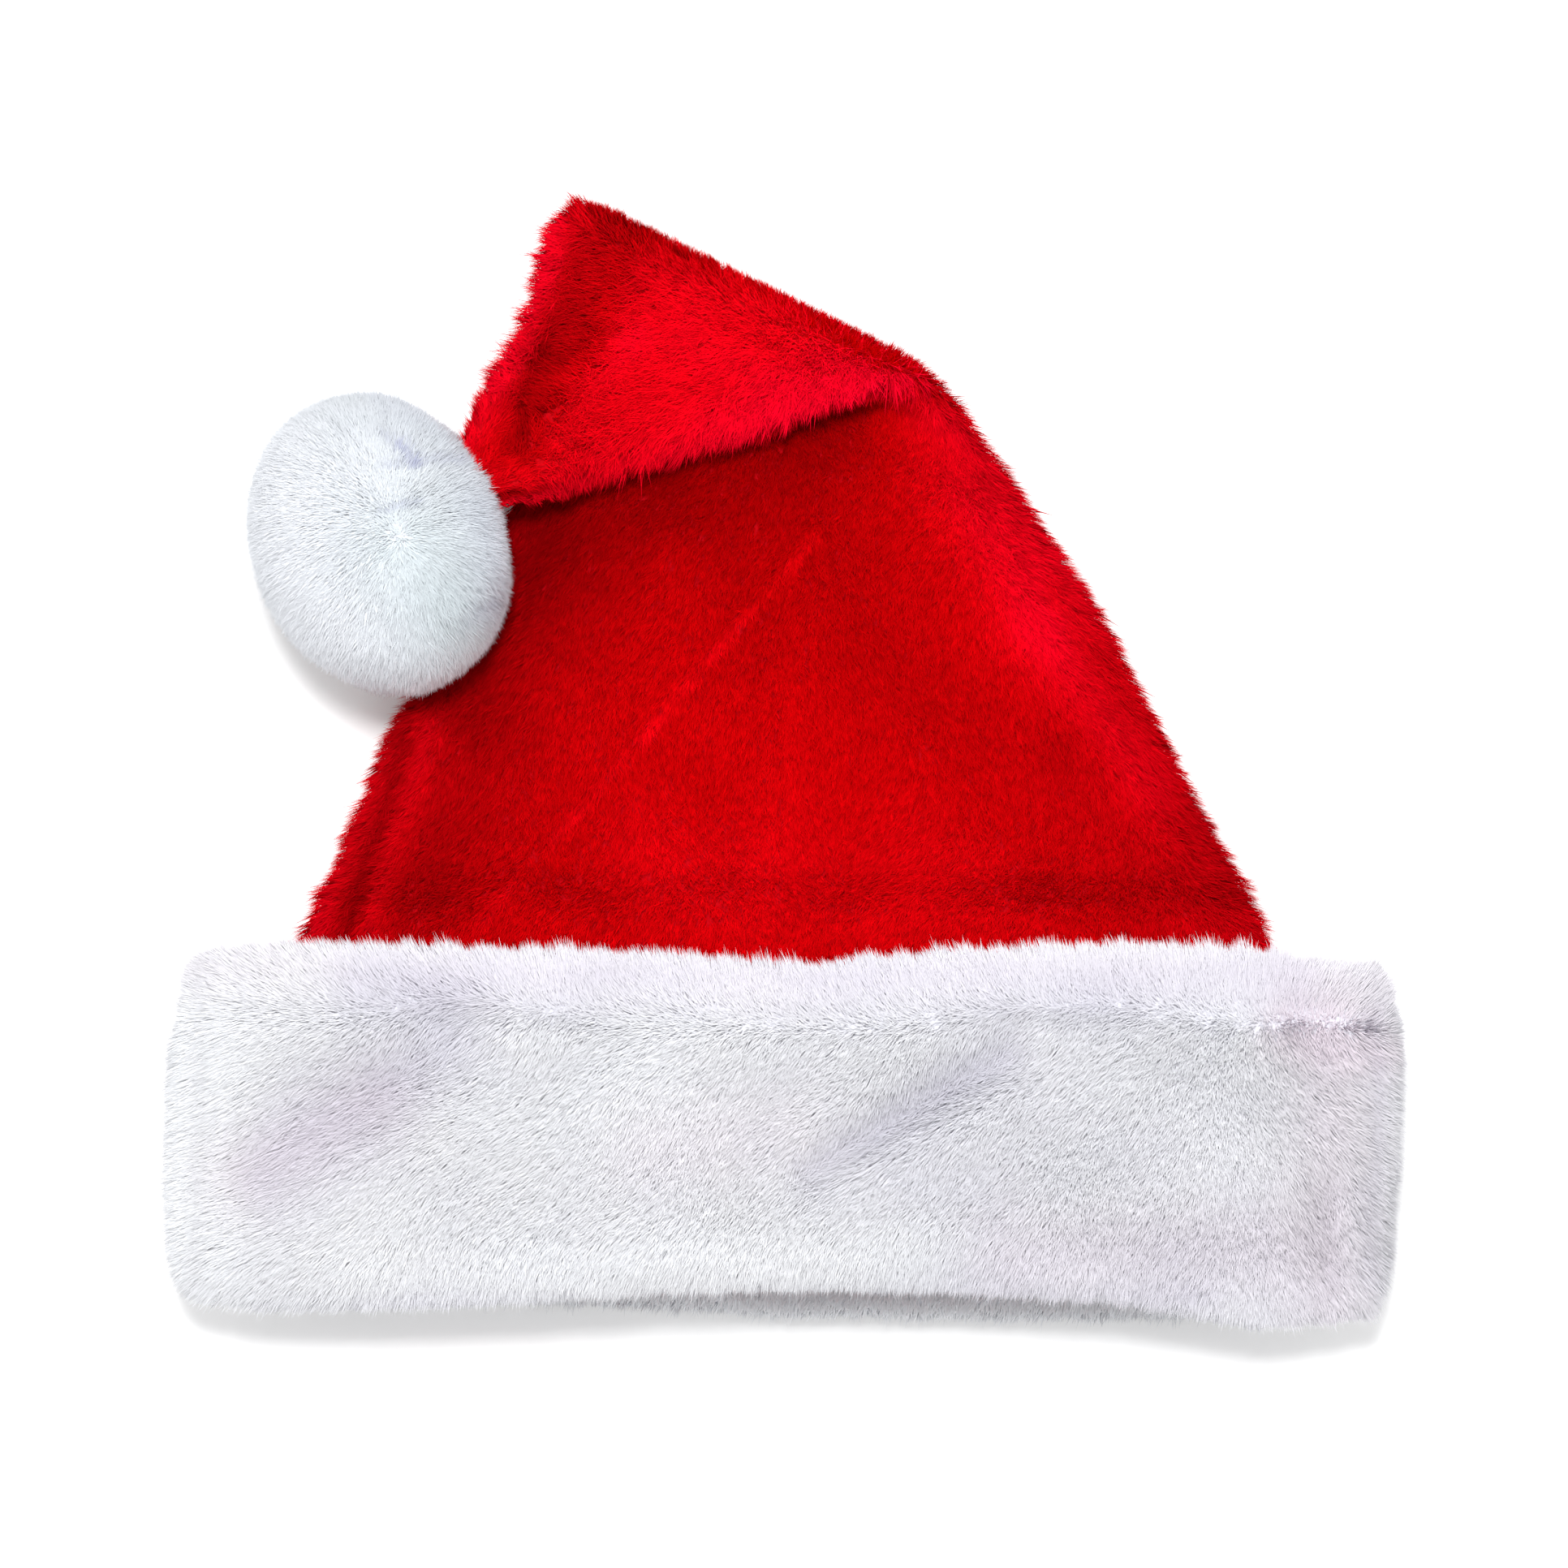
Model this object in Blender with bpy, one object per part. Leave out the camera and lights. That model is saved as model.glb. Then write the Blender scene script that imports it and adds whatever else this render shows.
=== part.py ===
"""A plush Santa hat, lying on its back with its tip folded over, as a Blender model.

Four sewn pieces: the front and the back panel of the red crown, which together make a hollow
flattened cone whose tip is folded over its front; the white cuff, a padded band round the opening;
and the white pompom on the tip.

Units are metres. +Z is up from the floor, +Y runs from the opening towards the crest of the fold,
and +X runs along the cuff. The front is the side that faces up.
"""

import math
from typing import NamedTuple

import bmesh
import bpy
import numpy as np
from mathutils import Matrix, Vector

# Driving sizes
CUFF_WIDTH = 0.2965
CUFF_WALL = 0.0120
CUFF_THICKNESS = 0.0480
CROWN_WALL = 0.0045
SEAM_GAP = 0.0005
PANEL_GAP = 0.0004  # between the crown's two panels, along its side edges
POMPOM_ACROSS = (0.0306, 0.0352, 0.0335)
POMPOM_CENTRE = (-0.0958, 0.0514, 0.0330)
POMPOM_LEAN = math.radians(22)

# How flat the cuff lies: 2 is an ellipse, and more is a flatter pillow
CUFF_SQUARENESS = 3.0

# Fold of the tip: its crest runs from one side edge to the other, seen from above
FOLD_LEFT = (-0.0505, 0.1383)
FOLD_RIGHT = (0.0365, 0.0955)
FOLD_HALF = 0.0070
FOLD_RADIUS = 0.0085
FOLD_STEPS = 8
FOLD_REACHES = (0.1225, 0.0995, 0.0850)  # width at its start, its crest and its end
FOLD_SQUARENESS = 4.0

# Lattices: faces round each piece, and along it
EDGE_DETAIL = 2.5  # how much closer the faces are where a flattened piece turns over at its sides
CROWN_AROUND = 44
CUFF_AROUND = 64
POMPOM_LEVELS = 4  # subdivisions of an icosahedron

# Locks of pile: how far each stands out of its face, and how far it leans along the pile
CROWN_TUFT = 0.0007
CUFF_LOCK = 0.0016
CUFF_LEAN = 0.0030
POMPOM_LOCK = 0.0022
SEED = 12


class Section(NamedTuple):
    """The crown across its width at one place, as it lies seen from above."""

    name: str
    left_x: float
    left_y: float
    right_x: float
    right_y: float
    mid_z: float
    half: float  # half of its thickness
    square: float  # 2 is an ellipse, and more is a flatter pillow
    tilt: float  # 0 where the front faces up, 180 where the folded tip shows its back
    faces: int  # lattice faces from here to the next section


# From the edge inside the cuff up to the fold
BODY_SECTIONS = (
    Section("hem", -0.1325, -0.1160, 0.1325, -0.1160, 0.0240, 0.0116, 2.7, 0, 1),
    Section("cuff_exit", -0.1160, -0.0400, 0.1157, -0.0400, 0.0240, 0.0116, 2.7, 0, 2),
    Section("above_cuff", -0.1077, -0.0220, 0.1078, -0.0240, 0.0165, 0.0125, 2.7, 0, 2),
    Section("low", -0.1012, -0.0050, 0.0985, -0.0065, 0.0132, 0.0131, 2.7, 0, 2),
    Section("lower_middle", -0.0925, 0.0140, 0.0882, 0.0130, 0.0130, 0.0130, 2.7, 0, 3),
    Section("middle", -0.0735, 0.0460, 0.0760, 0.0360, 0.0122, 0.0122, 2.8, 0, 3),
    Section("upper_middle", -0.0605, 0.0900, 0.0652, 0.0520, 0.0095, 0.0095, 3.2, 0, 2),
)
# From the fold along the tip to the pompom, as they lie
TIP_SECTIONS = (
    Section("tip_wide", -0.0620, 0.1070, -0.0020, 0.0790, 0.0250, 0.0070, 3.4, 180, 2),
    Section("tip_narrow", -0.0690, 0.0935, -0.0330, 0.0700, 0.0275, 0.0078, 3.0, 180, 2),
    Section("gather", -0.0745, 0.0835, -0.0530, 0.0625, 0.0305, 0.0086, 2.4, 180, 2),
    Section("neck", -0.0780, 0.0765, -0.0650, 0.0595, 0.0330, 0.0085, 2.1, 180, 2),
    Section("tip_end", -0.0850, 0.0715, -0.0745, 0.0560, 0.0340, 0.0068, 2.0, 180, 0),
)
LINED_TO = "tip_narrow"  # the hollow ends here, and the gathered neck beyond it is solid plush
PLEATS = 7
PLEAT_DEPTH = 0.0009
PLEATED_ROWS = 8  # the pleats fade in over these last rows of the lattice
SOCKET_ROWS = 3  # the last rows, inside the pompom
TUFTED_FROM_ROW = 2  # the rows below are inside the cuff


class Crease(NamedTuple):
    """A dent or ridge of the upper side, along a line seen from above. A depth below 0 is a ridge."""

    name: str
    start_x: float
    start_y: float
    end_x: float
    end_y: float
    width: float
    depth: float


BODY_CREASES = (
    Crease("packing_crease", 0.0080, 0.0560, -0.0740, -0.0400, 0.0030, -0.0012),
    Crease("right_bulge", 0.0420, 0.0560, 0.0960, -0.0200, 0.0120, -0.0022),
    Crease("right_valley", 0.0200, 0.0500, 0.0620, -0.0150, 0.0130, 0.0024),
    Crease("right_seam", 0.0610, 0.0420, 0.1080, -0.0360, 0.0030, 0.0012),
    Crease("left_seam", -0.0890, 0.0050, -0.1060, -0.0400, 0.0030, 0.0014),
    Crease("left_valley", -0.0700, 0.0150, -0.0850, -0.0350, 0.0110, 0.0018),
    Crease("under_pompom", -0.0600, 0.0600, -0.0780, 0.0220, 0.0100, 0.0050),
)
TIP_CREASES = (
    Crease("left_valley", -0.0430, 0.1200, -0.0620, 0.0850, 0.0050, 0.0030),
    Crease("middle_ridge", -0.0400, 0.1000, -0.0520, 0.0820, 0.0050, -0.0016),
    Crease("cross_dent", -0.0180, 0.0960, -0.0100, 0.0900, 0.0060, 0.0014),
    Crease("crest_dent", -0.0100, 0.1080, 0.0100, 0.0960, 0.0060, 0.0012),
)
CUFF_CREASES = (
    Crease("left_valley", -0.1230, -0.0960, -0.0800, -0.0650, 0.0120, 0.0032),
    Crease("middle_valley", 0.0080, -0.0950, 0.0540, -0.0680, 0.0070, 0.0028),
    Crease("centre_dent", -0.0160, -0.0900, -0.0080, -0.0780, 0.0140, 0.0018),
    Crease("right_fold", 0.1240, -0.0660, 0.1400, -0.0800, 0.0070, 0.0018),
    Crease("right_pucker", 0.1290, -0.1000, 0.1300, -0.1180, 0.0070, 0.0024),
    Crease("right_puff", 0.0700, -0.1080, 0.1080, -0.0900, 0.0160, -0.0016),
    Crease("lower_roll", -0.0600, -0.1150, 0.0400, -0.1130, 0.0090, -0.0012),
    Crease("hem_left", -0.1330, -0.0590, 0.0020, -0.0620, 0.0026, 0.0013),
    Crease("hem_right", 0.0020, -0.0620, 0.1420, -0.0590, 0.0026, 0.0013),
    Crease("left_side_fold", -0.1360, -0.0500, -0.1375, -0.1220, 0.0030, 0.0020),
    Crease("right_side_fold", 0.1390, -0.0620, 0.1380, -0.1220, 0.0030, 0.0016),
)
POMPOM_CREASES = (
    Crease("upper_gather", -0.0935, 0.0800, -0.0800, 0.0700, 0.0035, 0.0036),
    Crease("lower_gather", -0.0930, 0.0590, -0.0790, 0.0625, 0.0035, 0.0030),
)


class EdgePoint(NamedTuple):
    """Where the cuff's edges run at one place along its width."""

    x: float
    top: float  # upper edge, at the front
    bottom: float  # lower edge, at the front
    back_bottom: float  # lower edge, at the back


CUFF_EDGES = (
    EdgePoint(-0.1480, -0.0455, -0.1285, -0.1285),
    EdgePoint(-0.1300, -0.0440, -0.1300, -0.1290),
    EdgePoint(-0.0800, -0.0455, -0.1295, -0.1285),
    EdgePoint(-0.0300, -0.0470, -0.1270, -0.1300),
    EdgePoint(0.0030, -0.0498, -0.1262, -0.1318),
    EdgePoint(0.0450, -0.0460, -0.1270, -0.1325),
    EdgePoint(0.0850, -0.0448, -0.1295, -0.1320),
    EdgePoint(0.1200, -0.0460, -0.1345, -0.1325),
    EdgePoint(0.1480, -0.0495, -0.1320, -0.1320),
)


class CuffSide(NamedTuple):
    """How far the cuff reaches to each side at one height of the band."""

    y: float
    left: float
    right: float


CUFF_SIDES = (
    CuffSide(-0.1340, -0.1470, 0.1462),
    CuffSide(-0.1150, -0.1488, 0.1466),
    CuffSide(-0.0900, -0.1490, 0.1482),
    CuffSide(-0.0650, -0.1478, 0.1488),
    CuffSide(-0.0590, -0.1456, 0.1474),
    CuffSide(-0.0440, -0.1446, 0.1470),
)


class WallPoint(NamedTuple):
    """One line of the cuff's wall, round its section."""

    along: float  # 0 at the band's lower edge, 1 at its upper edge
    inset: float  # share of the wall in from the outer face
    locked: bool  # whether the strip from here to the next line carries locks of pile


CUFF_PROFILE = (
    WallPoint(0.14, 1.00, False),
    WallPoint(0.50, 1.00, False),
    WallPoint(0.93, 1.00, False),
    WallPoint(1.00, 0.78, True),
    WallPoint(1.01, 0.40, True),
    WallPoint(0.95, 0.10, True),
    WallPoint(0.84, 0.00, True),
    WallPoint(0.68, 0.00, True),
    WallPoint(0.52, 0.00, True),
    WallPoint(0.36, 0.00, True),
    WallPoint(0.20, 0.00, True),
    WallPoint(0.07, 0.08, True),
    WallPoint(0.00, 0.38, True),
    WallPoint(0.00, 0.70, True),
    WallPoint(0.05, 0.95, False),
)

UP = np.array((0.0, 0.0, 1.0))


def column(rows, name):
    """One named column of a table, as an array."""
    return np.array([getattr(row, name) for row in rows])


def pillow_at(turn, square):
    """How far across and through a flattened round section each turn lies, from -1 to 1."""
    across = np.sign(np.cos(turn)) * np.abs(np.cos(turn)) ** (2 / square)
    through = np.sign(np.sin(turn)) * np.abs(np.sin(turn)) ** (2 / square)
    return across, through


def pillow(half_width, half_depth, square, count):
    """Even steps round a flattened section, from one side edge over its front: across and through."""
    quarter = np.linspace(0, math.pi / 2, 721)
    across, through = pillow_at(quarter, square)
    steps = np.hypot(np.diff(across) * half_width, np.diff(through) * half_depth * EDGE_DETAIL)
    length = np.concatenate(([0], np.cumsum(steps)))
    even = np.interp(np.linspace(0, length[-1], count // 4 + 1), length, quarter)
    across, through = pillow_at(even, square)
    across[-1] = through[0] = 0
    front_across = np.concatenate((across, -across[-2::-1]))
    front_through = np.concatenate((through, through[-2::-1]))
    across = np.concatenate((front_across[:-1], front_across[:0:-1]))
    through = np.concatenate((front_through[:-1], -front_through[:0:-1]))
    return across, through


def crease_depth(x, y, creases):
    """How far the upper side is pushed down at each place."""
    depth = 0
    for crease in creases:
        run_x = crease.end_x - crease.start_x
        run_y = crease.end_y - crease.start_y
        share = ((x - crease.start_x) * run_x + (y - crease.start_y) * run_y) / (run_x**2 + run_y**2)
        share = np.clip(share, 0, 1)
        away_x = x - crease.start_x - share * run_x
        away_y = y - crease.start_y - share * run_y
        depth = depth + crease.depth * np.exp(-(away_x**2 + away_y**2) / crease.width**2)
    return depth


def fold_sections():
    """The sections round the fold of the tip, from the one that ends the body to the first of the tip."""
    left = np.array(FOLD_LEFT)
    along = np.array(FOLD_RIGHT) - left
    along /= np.linalg.norm(along)
    outward = np.array((-along[1], along[0]))
    start = left - outward * (FOLD_RADIUS + FOLD_HALF)
    sections = []
    for step in range(FOLD_STEPS + 1):
        turn = math.pi * step / FOLD_STEPS
        line = start + outward * FOLD_RADIUS * math.sin(turn)
        reach = np.interp(turn, (0, math.pi / 2, math.pi), FOLD_REACHES)
        right = line + along * reach
        mid_z = FOLD_HALF + FOLD_RADIUS * (1 - math.cos(turn))
        faces = 2 if step == FOLD_STEPS else 1
        tilt = math.degrees(turn)
        shape = (mid_z, FOLD_HALF, FOLD_SQUARENESS, tilt, faces)
        sections.append(Section(f"fold_{step}", *line, *right, *shape))
    return sections


def smooth_between(values, places, faces):
    """A curve through the values that never runs past them, with that many steps after each."""
    gap = np.maximum(np.linalg.norm(np.diff(places, axis=0), axis=1), 0.0005)[:, None]
    slope = np.diff(values, axis=0) / gap
    first, second = slope[:-1], slope[1:]
    agree = first * second > 0
    near, far = 2 * gap[1:] + gap[:-1], gap[1:] + 2 * gap[:-1]
    inner = (near + far) / (near / np.where(agree, first, 1) + far / np.where(agree, second, 1))
    lean = np.concatenate((slope[:1], np.where(agree, inner, 0), slope[-1:]))
    found = []
    for i, steps in enumerate(faces):
        for step in range(steps):
            s = step / steps
            found.append(
                values[i] * (1 + 2 * s) * (1 - s) ** 2
                + values[i + 1] * s**2 * (3 - 2 * s)
                + gap[i] * (lean[i] * s * (1 - s) ** 2 - lean[i + 1] * s**2 * (1 - s))
            )
    return np.array([*found, values[-1]])


def crown_sections():
    """Every section of the crown's lattice, as arrays of columns, and where the body and the hollow end."""
    body_and_fold = [*BODY_SECTIONS, *fold_sections()]
    rows = [*body_and_fold, *TIP_SECTIONS]
    faces = [row.faces for row in rows[:-1]]
    values = np.array([row[1:9] for row in rows], float)
    middles = np.stack((values[:, [0, 2]].mean(1), values[:, [1, 3]].mean(1), values[:, 4]), axis=1)
    table = smooth_between(values, middles, faces)
    fold_at = sum(row.faces for row in BODY_SECTIONS) + FOLD_STEPS // 2
    names = [row.name for row in rows]
    lined_to = sum(faces[: names.index(LINED_TO)])
    return table, fold_at, lined_to


def crown_rings(inset):
    """The crown's lattice of points, rings by points round it, that far inside its outer side."""
    table, fold_at, _ = crown_sections()
    rings = []
    for i, (left_x, left_y, right_x, right_y, mid_z, half, square, tilt) in enumerate(table):
        left = np.array((left_x, left_y, mid_z))
        right = np.array((right_x, right_y, mid_z))
        width = np.linalg.norm(right - left)
        across, through = pillow(width / 2, half, square, CROWN_AROUND)
        turn = np.arctan2(through, across)
        along = (right - left) / width
        outward = np.array((-along[1], along[0], 0.0))
        front = math.cos(math.radians(tilt)) * UP - math.sin(math.radians(tilt)) * outward
        into_pleats = (i - len(table) + PLEATED_ROWS) / (PLEATED_ROWS - SOCKET_ROWS)
        pleat = np.clip(into_pleats, 0, 1) * PLEAT_DEPTH * np.cos(PLEATS * turn)
        half_width = width / 2 - inset + pleat
        depth = half - inset + pleat
        ring = (left + right) / 2
        ring = ring + np.outer(across * half_width, along) + np.outer(through * depth, front)
        is_body = i < fold_at
        upper = np.clip(through if is_body else -through, 0, 1)
        if i < len(table) - SOCKET_ROWS:
            creases = BODY_CREASES if is_body else TIP_CREASES
            ring[:, 2] -= upper * crease_depth(ring[:, 0], ring[:, 1], creases)
        rings.append(ring)
    return np.array(rings)


def lattice_normals(points):
    """The outward direction at each point of a lattice that closes round its second axis."""
    round_it = np.roll(points, -1, axis=1) - np.roll(points, 1, axis=1)
    along_it = np.gradient(points, axis=0)
    normals = np.cross(along_it, round_it)
    return normals / np.maximum(np.linalg.norm(normals, axis=2, keepdims=True), 1e-9)


def face_lattice(bm, rings, split):
    """Adds the faces between closed rings of vertices, each split in two or left whole."""
    for low, high in zip(rings[:-1], rings[1:]):
        for i in range(len(low)):
            j = (i + 1) % len(low)
            if split:
                bm.faces.new((low[i], low[j], high[j]))
                bm.faces.new((low[i], high[j], high[i]))
            else:
                bm.faces.new((low[i], low[j], high[j], high[i]))


def add_rings(bm, points):
    """Adds the points of a lattice, and returns its vertices ring by ring."""
    return [[bm.verts.new(point) for point in ring] for ring in points]


def node(name, bm, material):
    """An object of that name from the mesh, with its faces outward and smooth."""
    bmesh.ops.recalc_face_normals(bm, faces=bm.faces)
    mesh = bpy.data.meshes.new(name)
    bm.to_mesh(mesh)
    bm.free()
    mesh.materials.append(material)
    mesh.shade_smooth()
    made = bpy.data.objects.new(name, mesh)
    bpy.context.scene.collection.objects.link(made)
    return made


def plush(name, colour, roughness):
    """A plain material of that colour."""
    material = bpy.data.materials.new(name)
    material.use_nodes = True
    shader = material.node_tree.nodes["Principled BSDF"]
    shader.inputs["Base Color"].default_value = (*colour, 1)
    shader.inputs["Roughness"].default_value = roughness
    shader.inputs["Metallic"].default_value = 0
    return material


def crown_outer():
    """The crown's outer lattice, with its pile in low tufts and its back flat on the floor."""
    rng = np.random.default_rng(SEED)
    _, fold_at, _ = crown_sections()
    outer = crown_rings(0)
    rows, around = outer.shape[:2]
    row, place = np.mgrid[0:rows, 0:around]
    checker = np.where((row + place) % 2 == 0, 1.0, -0.35)
    tuft = CROWN_TUFT * checker * rng.uniform(0.6, 1.2, (rows, around))
    shown = (row >= TUFTED_FROM_ROW) & (row < rows - SOCKET_ROWS)
    in_fold = (np.abs(row - fold_at) <= FOLD_STEPS) & (place < around // 2)
    tuft = np.where(shown & ~in_fold, tuft, 0)
    outer = outer + lattice_normals(outer) * tuft[..., None]
    outer[..., 2] = np.maximum(outer[..., 2], 0)
    return outer


def crown_inner():
    """The crown's inner lattice. Beyond the hollow both its sides lie in the gathered tip's middle."""
    _, _, lined_to = crown_sections()
    inner = crown_rings(CROWN_WALL)
    half = CROWN_AROUND // 2
    for ring in inner[lined_to + 1 :]:
        line = np.linspace(ring[0], ring[half], half + 1)
        ring[: half + 1] = line
        ring[half:] = line[:0:-1]
    return inner


def make_panel(name, outer, inner, first, material):
    """One panel of the crown: the half of its wall that starts at that point of each ring."""
    half = CROWN_AROUND // 2
    picked = np.arange(first, first + half + 1) % CROWN_AROUND
    other_side = (first + half // 2) % CROWN_AROUND
    opposite = (other_side + half) % CROWN_AROUND
    apart = outer[:, other_side] - outer[:, opposite]
    apart = apart / np.linalg.norm(apart, axis=1, keepdims=True) * PANEL_GAP / 2
    outer_half, inner_half = outer[:, picked].copy(), inner[:, picked].copy()
    for seam in (0, -1):
        outer_half[:, seam] += apart
        inner_half[:, seam] += apart
    _, _, lined_to = crown_sections()
    inner_half[lined_to + 1 :, 1:-1] += apart[lined_to + 1 :, None]
    bm = bmesh.new()
    rings = add_rings(bm, np.concatenate((outer_half, inner_half[:, ::-1]), axis=1))
    face_lattice(bm, rings, split=True)
    for ring in (rings[0], rings[-1]):
        for i in range(half):
            bm.faces.new((ring[i], ring[i + 1], ring[-2 - i], ring[-1 - i]))
    return node(name, bm, material)


def make_crown(material):
    """The red crown: a hollow flattened cone of two panels, its tip folded over and gathered."""
    outer, inner = crown_outer(), crown_inner()
    make_panel("crown_front", outer, inner, 0, material)
    make_panel("crown_back", outer, inner, CROWN_AROUND // 2, material)


def cuff_edges_at(x, back):
    """The cuff's lower and upper edge at each x, where back is 0 at the front and 1 at the back."""
    places = column(CUFF_EDGES, "x")
    top = np.interp(x, places, column(CUFF_EDGES, "top"))
    front_bottom = np.interp(x, places, column(CUFF_EDGES, "bottom"))
    back_bottom = np.interp(x, places, column(CUFF_EDGES, "back_bottom"))
    bottom = front_bottom * (1 - back) + back_bottom * back
    return bottom, top


def cuff_points():
    """The cuff's lattice of points: lines round its wall's section by points round the head."""
    across, through = pillow(CUFF_WIDTH / 2, CUFF_THICKNESS / 2, CUFF_SQUARENESS, CUFF_AROUND)
    back = np.clip(0.5 - through, 0, 1)
    side_y = column(CUFF_SIDES, "y")
    lines = []
    for line in CUFF_PROFILE:
        bottom, top = cuff_edges_at(across * CUFF_WIDTH / 2, back)
        y = bottom + line.along * (top - bottom)
        inset = line.inset * CUFF_WALL
        left = np.interp(y, side_y, column(CUFF_SIDES, "left")) + inset
        right = np.interp(y, side_y, column(CUFF_SIDES, "right")) - inset
        x = (left + right) / 2 + across * (right - left) / 2
        z = CUFF_THICKNESS / 2 + through * (CUFF_THICKNESS / 2 - inset)
        outer = 1 - line.inset
        z = z - np.clip(through, 0, 1) * outer * crease_depth(x, y, CUFF_CREASES)
        lines.append(np.stack((x, y, z), axis=1))
    return np.array(lines)


def poke_locks(bm, faces, rng, height, lean):
    """Turns each face into a lock of pile: a low spike that leans along the pile."""
    for face in faces:
        normal = face.normal.copy()
        centre = face.calc_center_median()
        made = bmesh.ops.poke(bm, faces=[face])
        reach = height * rng.uniform(0.6, 1.25)
        flow = lean(centre)
        flow -= normal * flow.dot(normal)
        made["verts"][0].co = centre + normal * reach + flow * rng.uniform(0.7, 1.1)


def make_cuff(material):
    """The white cuff: a closed padded band with its pile in locks, lying on its flat back."""
    rng = np.random.default_rng(SEED + 1)
    bm = bmesh.new()
    lines = add_rings(bm, cuff_points())
    locked = []
    for i, line in enumerate(CUFF_PROFILE):
        before = len(bm.faces)
        face_lattice(bm, [lines[i], lines[(i + 1) % len(lines)]], split=False)
        if line.locked:
            bm.faces.ensure_lookup_table()
            locked += [bm.faces[k] for k in range(before, len(bm.faces))]
    bmesh.ops.recalc_face_normals(bm, faces=bm.faces)
    bm.normal_update()

    def lean(centre):
        up_edge = centre.y > -0.060
        return Vector((0, CUFF_LEAN * (0.6 if up_edge else -1.0), 0))

    poke_locks(bm, locked, rng, CUFF_LOCK, lean)
    for vert in bm.verts:
        vert.co.z = max(vert.co.z, 0)
    return node("cuff", bm, material)


def make_pompom(material):
    """The white pompom: a ball of pile in locks, seated on the tip and against the crown's edge."""
    rng = np.random.default_rng(SEED + 2)
    bm = bmesh.new()
    bmesh.ops.create_icosphere(bm, subdivisions=POMPOM_LEVELS, radius=1)
    stretch = Matrix.Diagonal((*POMPOM_ACROSS, 1))
    place = Matrix.Translation(POMPOM_CENTRE) @ Matrix.Rotation(POMPOM_LEAN, 4, "Z") @ stretch
    bmesh.ops.transform(bm, matrix=place, verts=bm.verts)
    middle = Vector(POMPOM_CENTRE)
    for vert in bm.verts:
        depth = -POMPOM_LOCK * rng.uniform(-0.5, 1.0)
        if vert.co.z > middle.z:
            depth += float(crease_depth(vert.co.x, vert.co.y, POMPOM_CREASES))
        vert.co -= (vert.co - middle).normalized() * depth
        vert.co.z = max(vert.co.z, 0)
    pompom = node("pompom", bm, material)

    socket_bm = bmesh.new()
    outer = crown_outer()
    grown = outer + lattice_normals(outer) * SEAM_GAP
    grown[-1] += (grown[-1] - grown[-2]) * 0.1
    socket_rings = add_rings(socket_bm, grown)
    face_lattice(socket_bm, socket_rings, split=True)
    socket_bm.faces.new(socket_rings[0])
    socket_bm.faces.new(socket_rings[-1])
    socket = node("socket_cutter", socket_bm, material)
    socket.hide_render = True
    socket.display_type = "WIRE"
    cut = pompom.modifiers.new("socket", "BOOLEAN")
    cut.operation = "DIFFERENCE"
    cut.object = socket
    return pompom


def main():
    """Clears the scene and makes the hat."""
    for old in list(bpy.data.objects):
        bpy.data.objects.remove(old, do_unlink=True)
    red = plush("red_plush", (0.62, 0.004, 0.010), 0.85)
    white = plush("white_plush", (0.86, 0.87, 0.90), 0.90)
    make_crown(red)
    make_cuff(white)
    make_pompom(white)


main()
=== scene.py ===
"""The looks of a plush Santa hat that lies on its back with its tip folded over its front.

The red crown, the white cuff and the white pompom each have a cloth skin, which is shaped from the
same sections as the solids, and a pile of separate tapered strands that grow out of it.
Units are metres. The front of the hat faces +Z, and its opening is towards -Y.
"""

import logging
import math
from dataclasses import dataclass, field, fields, replace
from enum import Enum

import bmesh
import bpy
import numpy as np
from mathutils import Matrix, Vector


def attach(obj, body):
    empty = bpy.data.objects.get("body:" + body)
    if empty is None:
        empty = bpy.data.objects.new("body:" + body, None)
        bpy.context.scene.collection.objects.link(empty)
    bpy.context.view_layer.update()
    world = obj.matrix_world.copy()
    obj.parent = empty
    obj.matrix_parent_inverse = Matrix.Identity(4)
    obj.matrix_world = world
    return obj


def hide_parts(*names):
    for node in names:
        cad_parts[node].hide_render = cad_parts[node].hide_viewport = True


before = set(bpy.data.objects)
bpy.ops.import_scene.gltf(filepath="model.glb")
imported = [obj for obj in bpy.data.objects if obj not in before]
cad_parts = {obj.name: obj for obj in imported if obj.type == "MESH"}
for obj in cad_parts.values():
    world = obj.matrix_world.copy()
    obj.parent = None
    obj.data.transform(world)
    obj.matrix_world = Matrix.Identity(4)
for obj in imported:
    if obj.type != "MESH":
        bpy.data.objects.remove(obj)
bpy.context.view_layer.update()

LOG = logging.getLogger("hat")
MM = 0.001
UP = np.array((0.0, 0.0, 1.0))
FOOT_RISE = 0.4 * MM  # how far cloth and the feet of strands stay above the floor
TIP_RISE = 0.2 * MM
STRAND_RISE = 0.1 * MM
PRESSED = 0.6  # how much of an inset is left where the hat's weight presses on it
Colour = tuple[float, float, float]
Place = tuple[float, float]
Range = tuple[float, float]


# Shading


class Blend(Enum):
    """How one colour goes over another."""

    MIX = "MIX"
    MULTIPLY = "MULTIPLY"


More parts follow.
